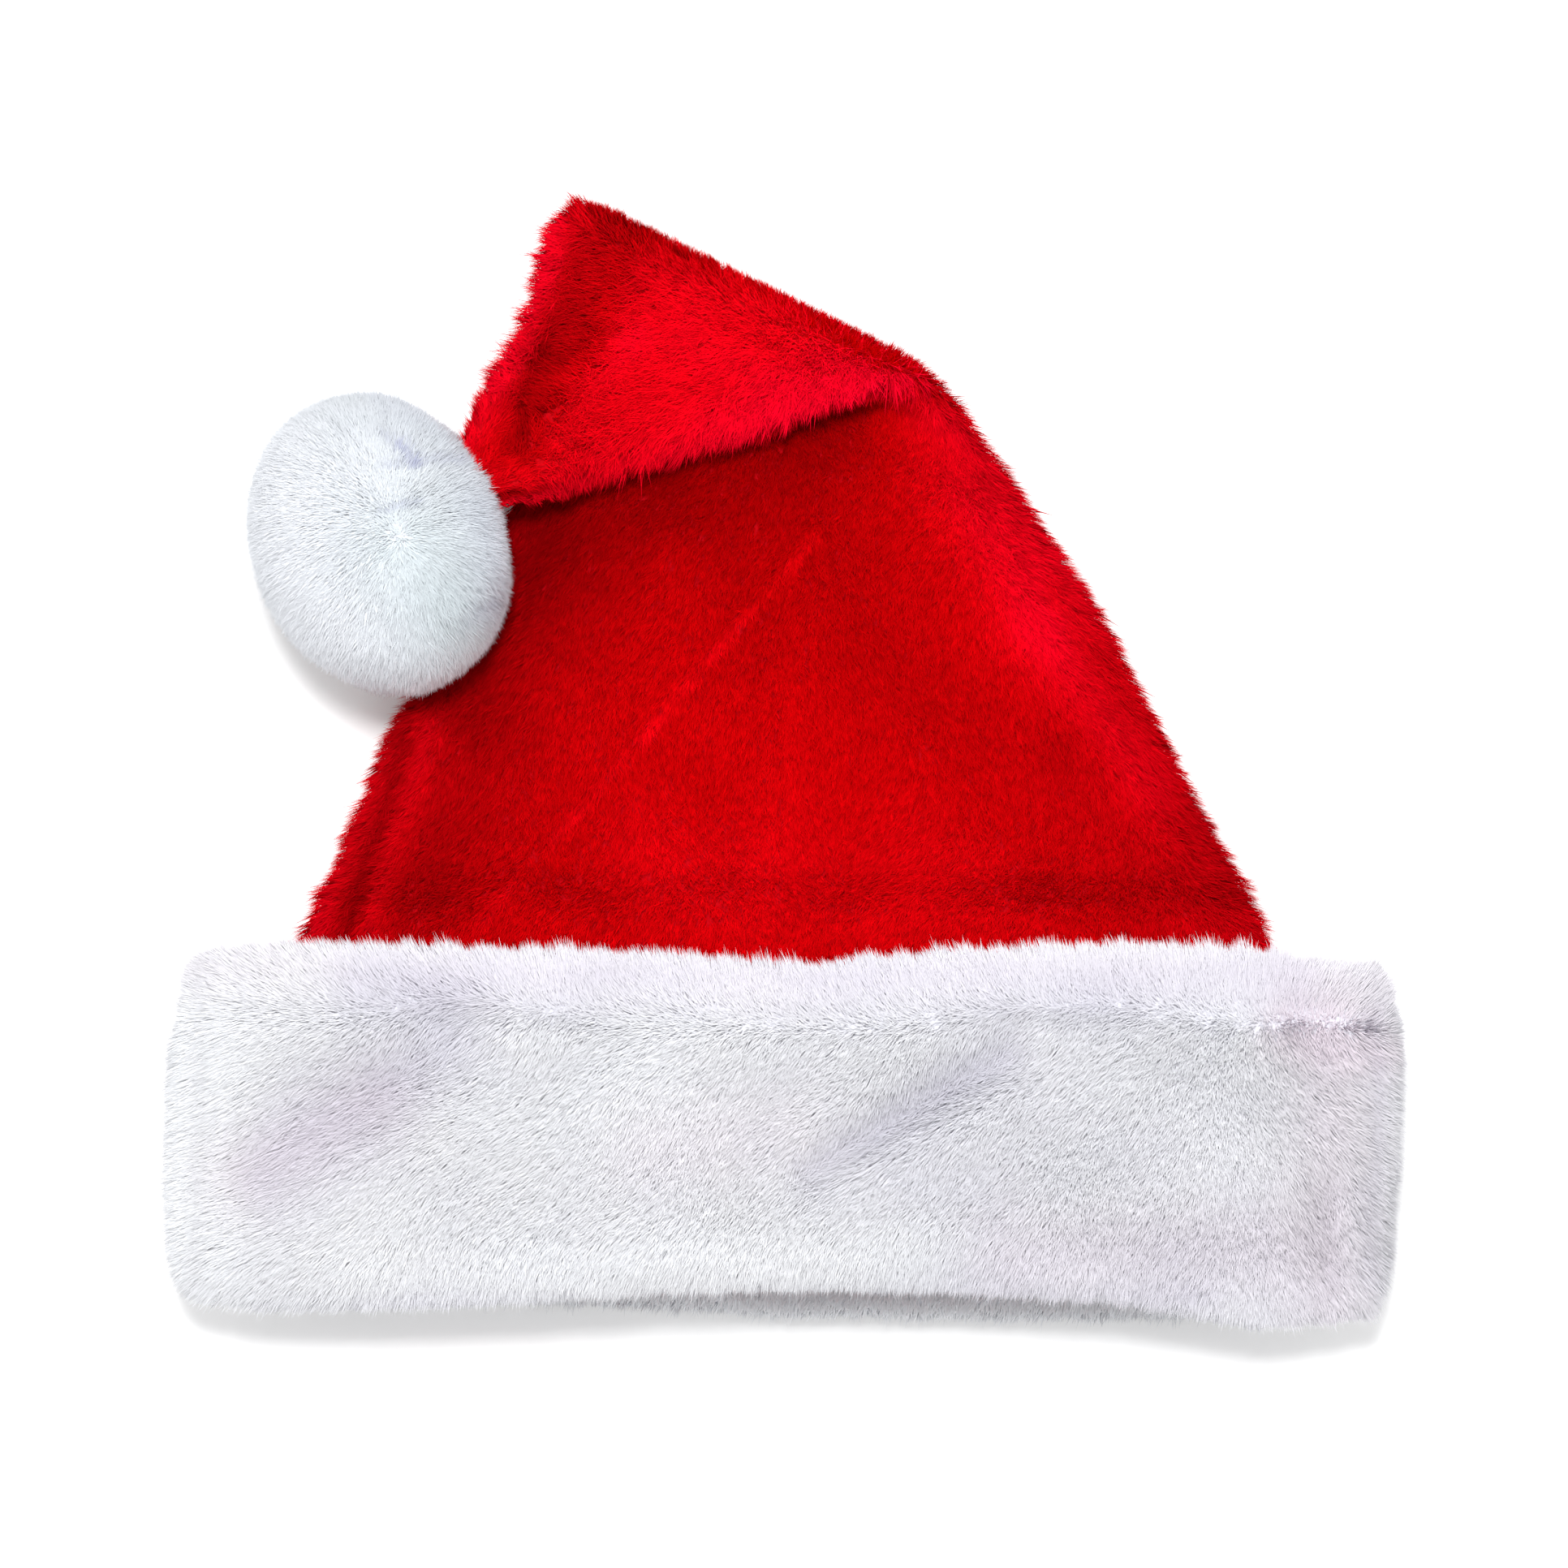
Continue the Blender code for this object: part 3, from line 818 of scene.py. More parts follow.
@dataclass
class Crown(Part):
    """The red crown: a flattened cone of plush whose tip is folded over and gathered."""

    around: int = 232
    finer: int = 7  # lattice rows for each row of the solid, where the pile grows
    cloth_around: int = 96
    cloth_finer: int = 3
    cloth_inset: float = 3.0 * MM
    wall: float = 4.5 * MM
    fold_left: Place = (-0.0505, 0.1383)
    fold_right: Place = (0.0365, 0.0955)
    fold_half: float = 7.0 * MM
    fold_radius: float = 8.5 * MM
    fold_reaches: tuple[float, float, float] = (0.1225, 0.0995, 0.0850)  # at start, crest and end
    fold_square: float = 4.0
    fold_steps: int = 8
    body: tuple[Section, ...] = (
        Section((-0.1325, -0.1160), (0.1325, -0.1160), 0.0240, 0.0116, 2.7, 0, 1),
        Section((-0.1160, -0.0400), (0.1157, -0.0400), 0.0240, 0.0116, 2.7, 0, 2),
        Section((-0.1077, -0.0220), (0.1078, -0.0240), 0.0165, 0.0125, 2.7, 0, 2),
        Section((-0.1012, -0.0050), (0.0985, -0.0065), 0.0132, 0.0131, 2.7, 0, 2),
        Section((-0.0925, 0.0140), (0.0882, 0.0130), 0.0130, 0.0130, 2.7, 0, 3),
        Section((-0.0735, 0.0460), (0.0760, 0.0360), 0.0122, 0.0122, 2.8, 0, 3),
        Section((-0.0605, 0.0900), (0.0652, 0.0520), 0.0095, 0.0095, 3.2, 0, 2),
    )
    tip: tuple[Section, ...] = (
        Section((-0.0620, 0.1070), (-0.0020, 0.0790), 0.0250, 0.0070, 3.4, 180, 2),
        Section((-0.0690, 0.0935), (-0.0330, 0.0700), 0.0275, 0.0078, 3.0, 180, 2),
        Section((-0.0745, 0.0835), (-0.0530, 0.0625), 0.0305, 0.0086, 2.4, 180, 2),
        Section((-0.0780, 0.0765), (-0.0650, 0.0595), 0.0330, 0.0085, 2.1, 180, 2),
        Section((-0.0850, 0.0715), (-0.0745, 0.0560), 0.0340, 0.0068, 2.0, 180, 0),
    )
    body_creases: tuple[SoftLine, ...] = (
        SoftLine((0.0080, 0.0560), (-0.0740, -0.0400), 0.0022, -0.0008),
        SoftLine((0.0420, 0.0560), (0.0960, -0.0200), 0.0120, -0.0022),
        SoftLine((0.0200, 0.0500), (0.0620, -0.0150), 0.0130, 0.0024),
        SoftLine((0.0610, 0.0420), (0.1080, -0.0360), 0.0026, 0.0014),
        SoftLine((-0.0880, 0.0050), (-0.1040, -0.0400), 0.0022, 0.0024),
        SoftLine((-0.0700, 0.0150), (-0.0850, -0.0350), 0.0110, 0.0018),
        SoftLine((-0.0600, 0.0600), (-0.0780, 0.0220), 0.0100, 0.0050),
    )
    tip_creases: tuple[SoftLine, ...] = (
        SoftLine((-0.0480, 0.1200), (-0.0548, 0.0994), 0.0050, 0.0034),
        SoftLine((-0.0560, 0.0970), (-0.0618, 0.0840), 0.0045, 0.0036),
        SoftLine((-0.0630, 0.0810), (-0.0670, 0.0738), 0.0040, 0.0040),
        SoftLine((-0.0450, 0.0940), (-0.0600, 0.0780), 0.0045, -0.0018),
        SoftLine((-0.0180, 0.0960), (-0.0100, 0.0900), 0.0060, 0.0014),
        SoftLine((-0.0100, 0.1080), (0.0100, 0.0960), 0.0060, 0.0012),
    )
    # Lines of painted shade on the body, the flap's shadow below it the widest, and of painted
    # light where below 0.
    body_painted_shading: tuple[SoftLine, ...] = (
        SoftLine((-0.0520, 0.0560), (0.0140, 0.0820), 0.0200, 0.85),
        SoftLine((-0.0620, 0.0300), (-0.0900, -0.0300), 0.0170, 0.42),
        SoftLine((0.0000, 0.0340), (0.0160, 0.0240), 0.0180, 0.22),
        SoftLine((-0.0300, -0.0280), (0.0500, -0.0280), 0.0160, -0.40),
        SoftLine((0.0300, 0.0800), (0.0600, 0.0400), 0.0160, -0.75),
        SoftLine((0.0590, 0.0300), (0.0880, -0.0020), 0.0100, -0.45),
        SoftLine((0.0330, 0.0560), (0.0670, 0.0040), 0.0075, 0.28),
        SoftLine((0.0670, 0.0040), (0.0920, -0.0300), 0.0075, 0.28),
        SoftLine((0.0074, 0.0547), (0.0000, 0.0458), 0.0010, -0.75),
        SoftLine((-0.0012, 0.0440), (-0.0062, 0.0384), 0.0008, -0.45),
        SoftLine((-0.0075, 0.0372), (-0.0175, 0.0255), 0.0011, -0.80),
        SoftLine((-0.0200, 0.0225), (-0.0262, 0.0155), 0.0012, -0.45),
        SoftLine((-0.0280, 0.0130), (-0.0345, 0.0055), 0.0010, -0.70),
        SoftLine((-0.0370, 0.0020), (-0.0450, -0.0065), 0.0010, -0.35),
        SoftLine((-0.0480, -0.0100), (-0.0560, -0.0190), 0.0011, -0.60),
        SoftLine((-0.0640, -0.0290), (-0.0730, -0.0393), 0.0012, -0.35),
        SoftLine((0.0095, 0.0530), (-0.0710, -0.0410), 0.0016, 0.20),
        SoftLine((-0.0891, 0.0072), (-0.1027, -0.0393), 0.0018, 0.95),
        SoftLine((-0.0950, 0.0060), (-0.1100, -0.0393), 0.0030, -0.45),
        SoftLine((-0.0840, 0.0090), (-0.0975, -0.0393), 0.0030, -0.60),
        SoftLine((0.0640, 0.0420), (0.1110, -0.0340), 0.0040, 0.35),
    )
    # Lines of painted shade along the tip's valley, and of painted light where below 0, over the
    # flap and along its ridge.
    tip_painted_shading: tuple[SoftLine, ...] = (
        SoftLine((-0.0100, 0.0990), (0.0335, 0.0890), 0.0240, -1.00),
        SoftLine((-0.0405, 0.1230), (-0.0488, 0.1004), 0.0080, 0.80),
        SoftLine((-0.0488, 0.1004), (-0.0560, 0.0850), 0.0064, 0.85),
        SoftLine((-0.0560, 0.0850), (-0.0625, 0.0745), 0.0055, 1.00),
        SoftLine((-0.0340, 0.1010), (-0.0555, 0.0780), 0.0042, -0.70),
        SoftLine((-0.0125, 0.1040), (-0.0025, 0.0990), 0.0060, 0.40),
        SoftLine((-0.0245, 0.0870), (-0.0125, 0.0900), 0.0050, 0.30),
        SoftLine((-0.0545, 0.1230), (-0.0680, 0.0900), 0.0050, -0.70),
        SoftLine((-0.0440, 0.0765), (-0.0060, 0.0850), 0.0075, -0.25),
    )
    pleats: int = 7
    pleat_depth: float = 0.9 * MM
    pleated_rows: int = 8  # rows of the solid at the tip's end over which the pleats grow
    full_pleat_rows: int = 5  # how many of these it takes until they are at their full depth
    still_rows: int = 3  # rows there that the creases leave alone
    open_rows: int = 6  # rows by which the inner wall ends short of the tip's end
    waves: Waves = Waves(38 * MM, 3)
    wave_depth: float = 0.9 * MM
    painted_shade_depth: float = 10.0 * MM  # a dent this deep gets the darkest painted shade
    drift: Waves = Waves(70 * MM, 8)
    clumps: Waves = Waves(4.8 * MM, 14)
    pile_depth: float = 2.5 * MM
    more_on_tip: float = 1.2 * MM  # how much deeper the pile is on the tip
    knot: Place = (-0.0780, 0.0620)  # the place in the neck that the tip's nap runs from
    neck: Place = (-0.0700, 0.0700)
    neck_size: float = 16.0 * MM
    tip_painted_light: float = 0.35  # how much painted light brightens the tip's pile
    bright: float = 0.6  # pile painted brighter than this also gets a pink painted highlight
    painted_highlight_tint: float = 0.8  # how strong that painted highlight is
    edge_blush: float = 0.60
    tip_blush: float = 0.22
    under_cuff: float = -0.0560  # no pile grows farther towards the opening than here
    overlap: float = 0.05  # how far the front's pile and the back's run past the side edges
    halves: Range = (-0.0005, 0.0035)  # where the halves of the pile overlap
    plush: Pile = Pile(
        density=12.0, width=0.27 * MM, lean=1.2, tuft=5, spread=0.9 * MM, gather=0.45, ruffle=0.8,
        roll=0.35, most=135_000,
    )
    long_plush: Pile = Pile(
        density=8.0, width=0.36 * MM, lean=1.25, tuft=7, spread=1.7 * MM, gather=0.42, ruffle=1.0,
        roll=0.4, most=95_000,
    )
    back_plush: Pile = Pile(
        density=2.0, width=0.6 * MM, lean=1.4, tuft=5, spread=1.6 * MM, gather=0.5, ruffle=1.0,
        roll=0.5, most=45_000,
    )

    def fold(self) -> list[Section]:
        """The sections round the fold of the tip.

        Returns:
            The sections, from the one that ends the body to the first of the tip.
        """
        left = np.array(self.fold_left)
        along = unit(np.array(self.fold_right) - left)
        outward = np.array((-along[1], along[0]))
        start = left - outward * (self.fold_radius + self.fold_half)
        sections = []
        for step in range(self.fold_steps + 1):
            turn = math.pi * step / self.fold_steps
            line = start + outward * self.fold_radius * math.sin(turn)
            reach = np.interp(turn, (0, math.pi / 2, math.pi), self.fold_reaches)
            mid_z = self.fold_half + self.fold_radius * (1 - math.cos(turn))
            steps = 2 if step == self.fold_steps else 1
            ends, tilt = (tuple(line), tuple(line + along * reach)), math.degrees(turn)
            sections.append(Section(*ends, mid_z, self.fold_half, self.fold_square, tilt, steps))
        return sections

    def table(self, finer: int) -> tuple[np.ndarray, int]:
        """Every row of the lattice.

        Args:
            finer: how many lattice rows there are for each row of the solid.

        Returns:
            The columns of each row, and the row of the fold's crest.
        """
        rows = [*self.body, *self.fold(), *self.tip]
        values = np.array(
            [(*row.left, *row.right, row.mid_z, row.half, row.square, row.tilt) for row in rows]
        )
        across, along = values[:, [0, 2]].mean(axis=1), values[:, [1, 3]].mean(axis=1)
        middles = np.stack((across, along, values[:, 4]), axis=1)
        crest = sum(row.steps for row in self.body) + self.fold_steps // 2
        steps = [row.steps * finer for row in rows[:-1]]
        return smooth_between(values, middles, steps), crest * finer

    def ring(
        self, values: np.ndarray, inset: float, pleated: float, around: int
    ) -> tuple[np.ndarray, np.ndarray, np.ndarray]:
        """One row of the lattice, before its creases.

        Args:
            values: the row of the table.
            inset: how far inside the crown's outer side it is.
            pleated: how deep the pleats are there, from 0 to 1.
            around: how many points it has.

        Returns:
            The points, and how far across and through the crown each lies.
        """
        left_x, left_y, right_x, right_y, mid_z, half, square, tilt = values
        left, right = np.array((left_x, left_y, mid_z)), np.array((right_x, right_y, mid_z))
        width = np.linalg.norm(right - left)
        across, through = pillow(width / 2, half, square, around)
        along = (right - left) / width
        outward = np.array((-along[1], along[0], 0.0))
        front = math.cos(math.radians(tilt)) * UP - math.sin(math.radians(tilt)) * outward
        phase = np.arctan2(through, across)
        pleat = pleated * self.pleat_depth * np.cos(self.pleats * phase)
        points = (left + right) / 2
        points = points + np.outer(across * (width / 2 - inset + pleat), along)
        points = points + np.outer(through * (half - inset + pleat), front)
        return points, across, through

    def lattice(self, inset: float, finer: int, around: int) -> dict[str, np.ndarray]:
        """The lattice of points that far inside the crown's outer side.

        Args:
            inset: how far inside.
            finer: how many lattice rows there are for each row of the solid.
            around: how many points are in each row.

        Returns:
            The points, how far across and through the crown each lies, and its pile's painted shade
            and light.
        """
        table, crest = self.table(finer)
        end = len(table)
        points, acrosses, throughs, painted_shading = [], [], [], []
        for i, values in enumerate(table):
            into = (i - end + self.pleated_rows * finer) / (self.full_pleat_rows * finer)
            ring, across, through = self.ring(values, inset, np.clip(into, 0, 1), around)
            is_body = i < crest
            upper = np.clip(through if is_body else -through, 0, 1)
            creases = self.body_creases if is_body else self.tip_creases
            depth = upper * sum_of_lines(ring[:, 0], ring[:, 1], creases)
            waves = upper * self.waves.at(ring[:, 0], ring[:, 1]) * self.wave_depth
            until_end, from_brim = (end - i) / finer - self.still_rows, i / finer - 1
            calm = np.clip(until_end, 0, 1) * np.clip(from_brim, 0, 1)
            ring[:, 2] -= calm * (depth + waves)
            points.append(ring)
            acrosses.append(across)
            throughs.append(through)
            # Painted shade and light: the listed lines, and painted shade in the dents of the
            # creases and waves.
            lines = self.body_painted_shading if is_body else self.tip_painted_shading
            tone = np.clip(upper * 3, 0, 1) * sum_of_lines(ring[:, 0], ring[:, 1], lines)
            painted_shading.append(np.clip(tone + (depth + waves) / self.painted_shade_depth, -1, 1))
        found = {"points": np.array(points), "across": np.array(acrosses)}
        found |= {"through": np.array(throughs), "tone": np.array(painted_shading)}
        lowest = FOOT_RISE + inset * PRESSED
        found["points"][..., 2] = np.maximum(found["points"][..., 2], lowest)
        return found

    def make_cloth(self) -> bpy.types.Object:
        """Makes the knitted cloth: a closed wall, open at the brim and drawn together at the tip.

        Returns:
            The cloth.
        """
        outer = self.lattice(self.cloth_inset, self.cloth_finer, self.cloth_around)["points"]
        inner = self.lattice(self.wall, self.cloth_finer, self.cloth_around)["points"]
        joined = np.concatenate((outer[::-1], inner[: -self.open_rows * self.cloth_finer]))
        made = mesh_object("crown_cloth", joined.reshape(-1, 3), lattice_faces(*joined.shape[:2]))
        close_up(made)
        dress([made], RED_CLOTH)
        return made

    def nap(self, points: np.ndarray, across: np.ndarray, on_body: np.ndarray) -> np.ndarray:
        """Which way the pile lies: towards the cuff on the body, and out of the neck on the tip.

        Args:
            points: the lattice.
            across: how far across the crown each point lies.
            on_body: which points lie before the fold's crest.

        Returns:
            A direction for each point, longer where the nap is stronger.
        """
        x, y = points[..., 0], points[..., 1]
        zero = np.zeros_like(x)
        edge = np.sign(across) * np.abs(across) ** 4
        drift = self.drift.at(x, y) * 0.35
        # On the body it also runs out over the two sides.
        body = np.stack((0.5 * edge + drift - 0.1, -1 + zero, zero - 0.1), axis=-1)
        # On the tip it runs to the left, more down along the lower edge, and apart at the neck.
        away = unit(np.stack((x - self.knot[0], y - self.knot[1], zero), axis=-1))
        lower = np.clip(across * 1.4 - 0.2, 0, 1)
        flow_x, flow_y = -0.9 + 0.4 * lower + drift, drift * 0.6 - 0.25 - 0.6 * lower
        flow = np.stack((flow_x, flow_y, zero), axis=-1)
        apart = np.hypot(x - self.neck[0], y - self.neck[1]) / self.neck_size
        near = np.exp(-(apart**2))[..., None]
        return np.where(on_body[..., None], body, flow * (1 - near) + away * near * 1.5)

    def height(
        self, points: np.ndarray, across: np.ndarray, row: np.ndarray, on_tip: np.ndarray
    ) -> np.ndarray:
        """How high the pile stands: more on the tip and along the edges, and in clumps.

        Args:
            points: the lattice.
            across: how far across the crown each point lies.
            row: the row of each point.
            on_tip: how far it is on the tip, from 0 to 1.

        Returns:
            The height at each point.
        """
        _, crest = self.table(self.finer)
        edge = across**4
        longer = 1 + (0.45 - 0.12 * on_tip) * edge
        clumps = self.clumps.at(points[..., 0], points[..., 1] + points[..., 2])
        clumped = 1 + clumps * (0.10 + 0.28 * edge + 0.12 * on_tip)
        lower_edge = 1 - 0.30 * on_tip * np.clip((across - 0.7) / 0.3, 0, 1)
        at_crest = 1 + 0.05 * np.exp(-(((row - crest) / (2.5 * self.finer)) ** 2))
        at_end = np.clip((len(points) - row) / (6 * self.finer), 0.5, 1)
        depth = self.pile_depth + self.more_on_tip * on_tip
        return depth * longer * clumped * lower_edge * at_crest * at_end

    def ground(self) -> tuple[Ground, np.ndarray, np.ndarray]:
        """The cloth that the pile grows from.

        Returns:
            The ground, the row of each of its points, and how far through the crown each lies.
        """
        found = self.lattice(self.cloth_inset, self.finer, self.around)
        points, across, through = found["points"], found["across"], found["through"]
        rows, around = points.shape[:2]
        _, crest = self.table(self.finer)
        row = np.repeat(np.arange(rows)[:, None], around, axis=1)
        on_tip = np.clip((row - crest) / (3.0 * self.finer), 0, 1)
        nap = self.nap(points, across, row < crest)
        height = self.height(points, across, row, on_tip)
        # Painted light all over the tip.
        tone = np.clip(found["tone"] - self.tip_painted_light * on_tip, -1, 1)
        # A pink painted highlight where the pile is painted brightest.
        bright = np.clip(-found["tone"] - self.bright, 0, 1)
        blush = self.edge_blush * across**4 + self.tip_blush * on_tip + self.painted_highlight_tint * bright
        made = Ground(
            points.reshape(-1, 3), triangles(lattice_faces(rows, around)),
            outward_of(points).reshape(-1, 3), nap.reshape(-1, 3),
            height.ravel(), tone.ravel(), np.clip(blush, 0, 1).ravel(),
        )
        return made, row.ravel(), through.ravel()

    def make_pile(self) -> list[bpy.types.Object]:
        """Grows the red pile, in four pieces.

        Returns:
            The pieces.
        """
        ground, row, through = self.ground()
        _, crest = self.table(self.finer)
        before_crest = crest - 2 * self.finer
        shown = ground.points[:, 1] > self.under_cuff
        body = shown & (row <= before_crest)
        front, back = body & (through > -self.overlap), body & (through < self.overlap)
        right = ground.points[:, 0] > self.halves[0]
        left = ground.points[:, 0] < self.halves[1]
        grown = (
            ("crown_pile_left", self.plush, front & left, 21),
            ("crown_pile_right", self.plush, front & right, 22),
            ("crown_pile_tip", self.long_plush, row >= before_crest, 23),
            ("crown_pile_back", self.back_plush, back, 24),
        )
        pieces = [pile.grow(name, ground.picked(where), seed) for name, pile, where, seed in grown]
        dress(pieces, RED_PILE)
        return pieces

    def build(self) -> None:
        """Makes the crown's pieces, lets them ride on the hat's body, and hides the crown's solids.
        """
        cloth = self.make_cloth()
        pile = self.make_pile()
        self.carry([cloth, *pile])
        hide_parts("crown_front", "crown_back")


@dataclass(frozen=True)
class EdgePoint:
    """Where the cuff's edges run at one place along its width."""

    x: float
    top: float
    bottom: float
    back_bottom: float


@dataclass(frozen=True)
class CuffSide:
    """How far the cuff reaches to each side at one height of the band."""

    y: float
    left: float
    right: float


@dataclass(frozen=True)
class WallPoint:
    """One line of the cuff's wall, round its section."""

    along: float
    inset: float


@dataclass
class Cuff(Part):
    """The white cuff: a padded band of deep pile round the opening."""

    around: int = 300
    finer: int = 6  # lattice lines for each line of the solid, where the pile grows
    cloth_around: int = 160
    cloth_finer: int = 3
    width: float = 296.5 * MM
    tall: float = 88.0 * MM
    thickness: float = 48.0 * MM
    wall: float = 12.0 * MM
    pile_depth: float = 4.2 * MM
    square: float = 3.0  # 2 is an ellipse, and more is a flatter pillow
    edges: tuple[EdgePoint, ...] = (
        EdgePoint(-0.1480, -0.0461, -0.1285, -0.1285),
        EdgePoint(-0.1300, -0.0446, -0.1300, -0.1290),
        EdgePoint(-0.0800, -0.0461, -0.1280, -0.1290),
        EdgePoint(-0.0300, -0.0476, -0.1250, -0.1310),
        EdgePoint(0.0030, -0.0504, -0.1243, -0.1330),
        EdgePoint(0.0450, -0.0466, -0.1248, -0.1335),
        EdgePoint(0.0850, -0.0454, -0.1274, -0.1335),
        EdgePoint(0.1200, -0.0466, -0.1335, -0.1325),
        EdgePoint(0.1480, -0.0501, -0.1320, -0.1320),
    )
    sides: tuple[CuffSide, ...] = (
        CuffSide(-0.1340, -0.1470, 0.1462),
        CuffSide(-0.1150, -0.1488, 0.1466),
        CuffSide(-0.0900, -0.1490, 0.1482),
        CuffSide(-0.0650, -0.1478, 0.1488),
        CuffSide(-0.0590, -0.1456, 0.1474),
        CuffSide(-0.0440, -0.1446, 0.1470),
    )
    profile: tuple[WallPoint, ...] = (
        WallPoint(0.14, 1.00), WallPoint(0.50, 1.00), WallPoint(0.93, 1.00),
        WallPoint(1.00, 0.78), WallPoint(1.01, 0.40), WallPoint(0.95, 0.10),
        WallPoint(0.84, 0.00), WallPoint(0.68, 0.00), WallPoint(0.52, 0.00),
        WallPoint(0.36, 0.00), WallPoint(0.20, 0.00), WallPoint(0.07, 0.08),
        WallPoint(0.00, 0.38), WallPoint(0.00, 0.70), WallPoint(0.05, 0.95),
    )
    creases: tuple[SoftLine, ...] = (
        SoftLine((-0.1230, -0.0960), (-0.0800, -0.0650), 0.0120, 0.0032),
        SoftLine((0.0080, -0.0950), (0.0540, -0.0680), 0.0060, 0.0030),
        SoftLine((-0.0160, -0.0900), (-0.0080, -0.0780), 0.0140, 0.0013),
        SoftLine((0.1240, -0.0660), (0.1400, -0.0800), 0.0070, 0.0018),
        SoftLine((0.1290, -0.1000), (0.1300, -0.1180), 0.0060, 0.0026),
        SoftLine((0.0700, -0.1080), (0.1080, -0.0900), 0.0160, -0.0016),
        SoftLine((-0.0600, -0.1150), (0.0400, -0.1130), 0.0090, -0.0012),
        SoftLine((-0.1330, -0.0590), (0.0020, -0.0620), 0.0022, 0.0005),
        SoftLine((0.0020, -0.0620), (0.1420, -0.0590), 0.0022, 0.0005),
        SoftLine((-0.1360, -0.0500), (-0.1375, -0.1220), 0.0028, 0.0020),
        SoftLine((0.1390, -0.0620), (0.1380, -0.1220), 0.0028, 0.0016),
    )
    # Lines of painted shade along the creases and edges, and of painted light where below 0,
    # brightest at the left end.
    painted_shading: tuple[SoftLine, ...] = (
        SoftLine((-0.1400, -0.0600), (-0.1400, -0.1200), 0.0140, -0.75),
        SoftLine((-0.1200, -0.0960), (-0.0780, -0.0660), 0.0110, 0.30),
        SoftLine((0.0080, -0.0950), (0.0540, -0.0680), 0.0060, 0.30),
        SoftLine((0.0300, -0.1000), (0.1150, -0.0950), 0.0300, 0.35),
        SoftLine((-0.1000, -0.0535), (0.1200, -0.0535), 0.0060, 0.60),
        SoftLine((0.0500, -0.1180), (0.1250, -0.1180), 0.0110, 0.30),
        SoftLine((-0.1000, -0.1170), (0.0300, -0.1160), 0.0080, -0.15),
        SoftLine((-0.1000, -0.1260), (0.1000, -0.1240), 0.0030, 0.45),
        SoftLine((-0.1360, -0.0500), (-0.1375, -0.1220), 0.0020, 0.30),
        SoftLine((0.1390, -0.0620), (0.1380, -0.1220), 0.0020, 0.30),
        SoftLine((0.1270, -0.0700), (0.1270, -0.1120), 0.0110, -0.45),
        SoftLine((-0.0400, -0.0800), (0.0000, -0.0860), 0.0160, -0.40),
    )
    blushes: tuple[SoftLine, ...] = (
        SoftLine((0.1280, -0.0640), (0.1290, -0.1280), 0.0110, 0.55),
        SoftLine((0.1180, -0.0640), (0.1420, -0.0680), 0.0060, 0.55),
        SoftLine((0.0560, -0.1160), (0.1120, -0.1130), 0.0120, 0.35),
        SoftLine((-0.1230, -0.0960), (-0.0950, -0.0800), 0.0110, 0.45),
        SoftLine((-0.0300, -0.0900), (0.0000, -0.0860), 0.0120, 0.30),
    )
    waves: Waves = Waves(34 * MM, 5)
    wave_depth: float = 0.7 * MM
    painted_shade_depth: float = 6.5 * MM  # a dent this deep gets the darkest painted shade
    drift_across: Waves = Waves(50 * MM, 11)
    drift_along: Waves = Waves(60 * MM, 12)
    clumps: Waves = Waves(6 * MM, 15)
    ruffles: Waves = Waves(6 * MM, 16)
    halves: Range = (-0.0005, 0.0035)  # where the halves of the pile overlap
    below_reach: float = 0.1260  # how far to each side the pile under the lower edge grows
    below_until: float = 0.14  # how far up the band it does
    outer_share: float = 0.86  # how far into the wall the pile outside goes round its edges
    inner_share: float = 0.80  # where the pile inside begins
    turned_in: Range = (0.16, 0.80)  # up the band, between its two turned-in edges
    front_until: float = -0.12  # through the band, where the front's pile ends
    back_from: float = -0.02
    rim_from: float = 0.86  # up the band, where its rim at the crown's side begins
    rim_run: float = 0.10
    rim_blush: float = 0.25
    fur: Pile = Pile(
        density=12.0, width=0.33 * MM, lean=1.0, tuft=3, spread=0.8 * MM, gather=0.95, ruffle=0.55,
        roll=0.15, most=135_000, soft=0.80,
    )
    fur_behind: Pile = Pile(
        density=2.4, width=0.56 * MM, lean=1.1, tuft=5, spread=1.6 * MM, gather=0.5, ruffle=1.0,
        roll=0.4, most=50_000,
    )
    fur_below: Pile = Pile(
        density=7.0, width=0.38 * MM, lean=1.2, tuft=5, spread=1.0 * MM, gather=0.50, ruffle=1.0,
        roll=0.3, most=30_000,
    )

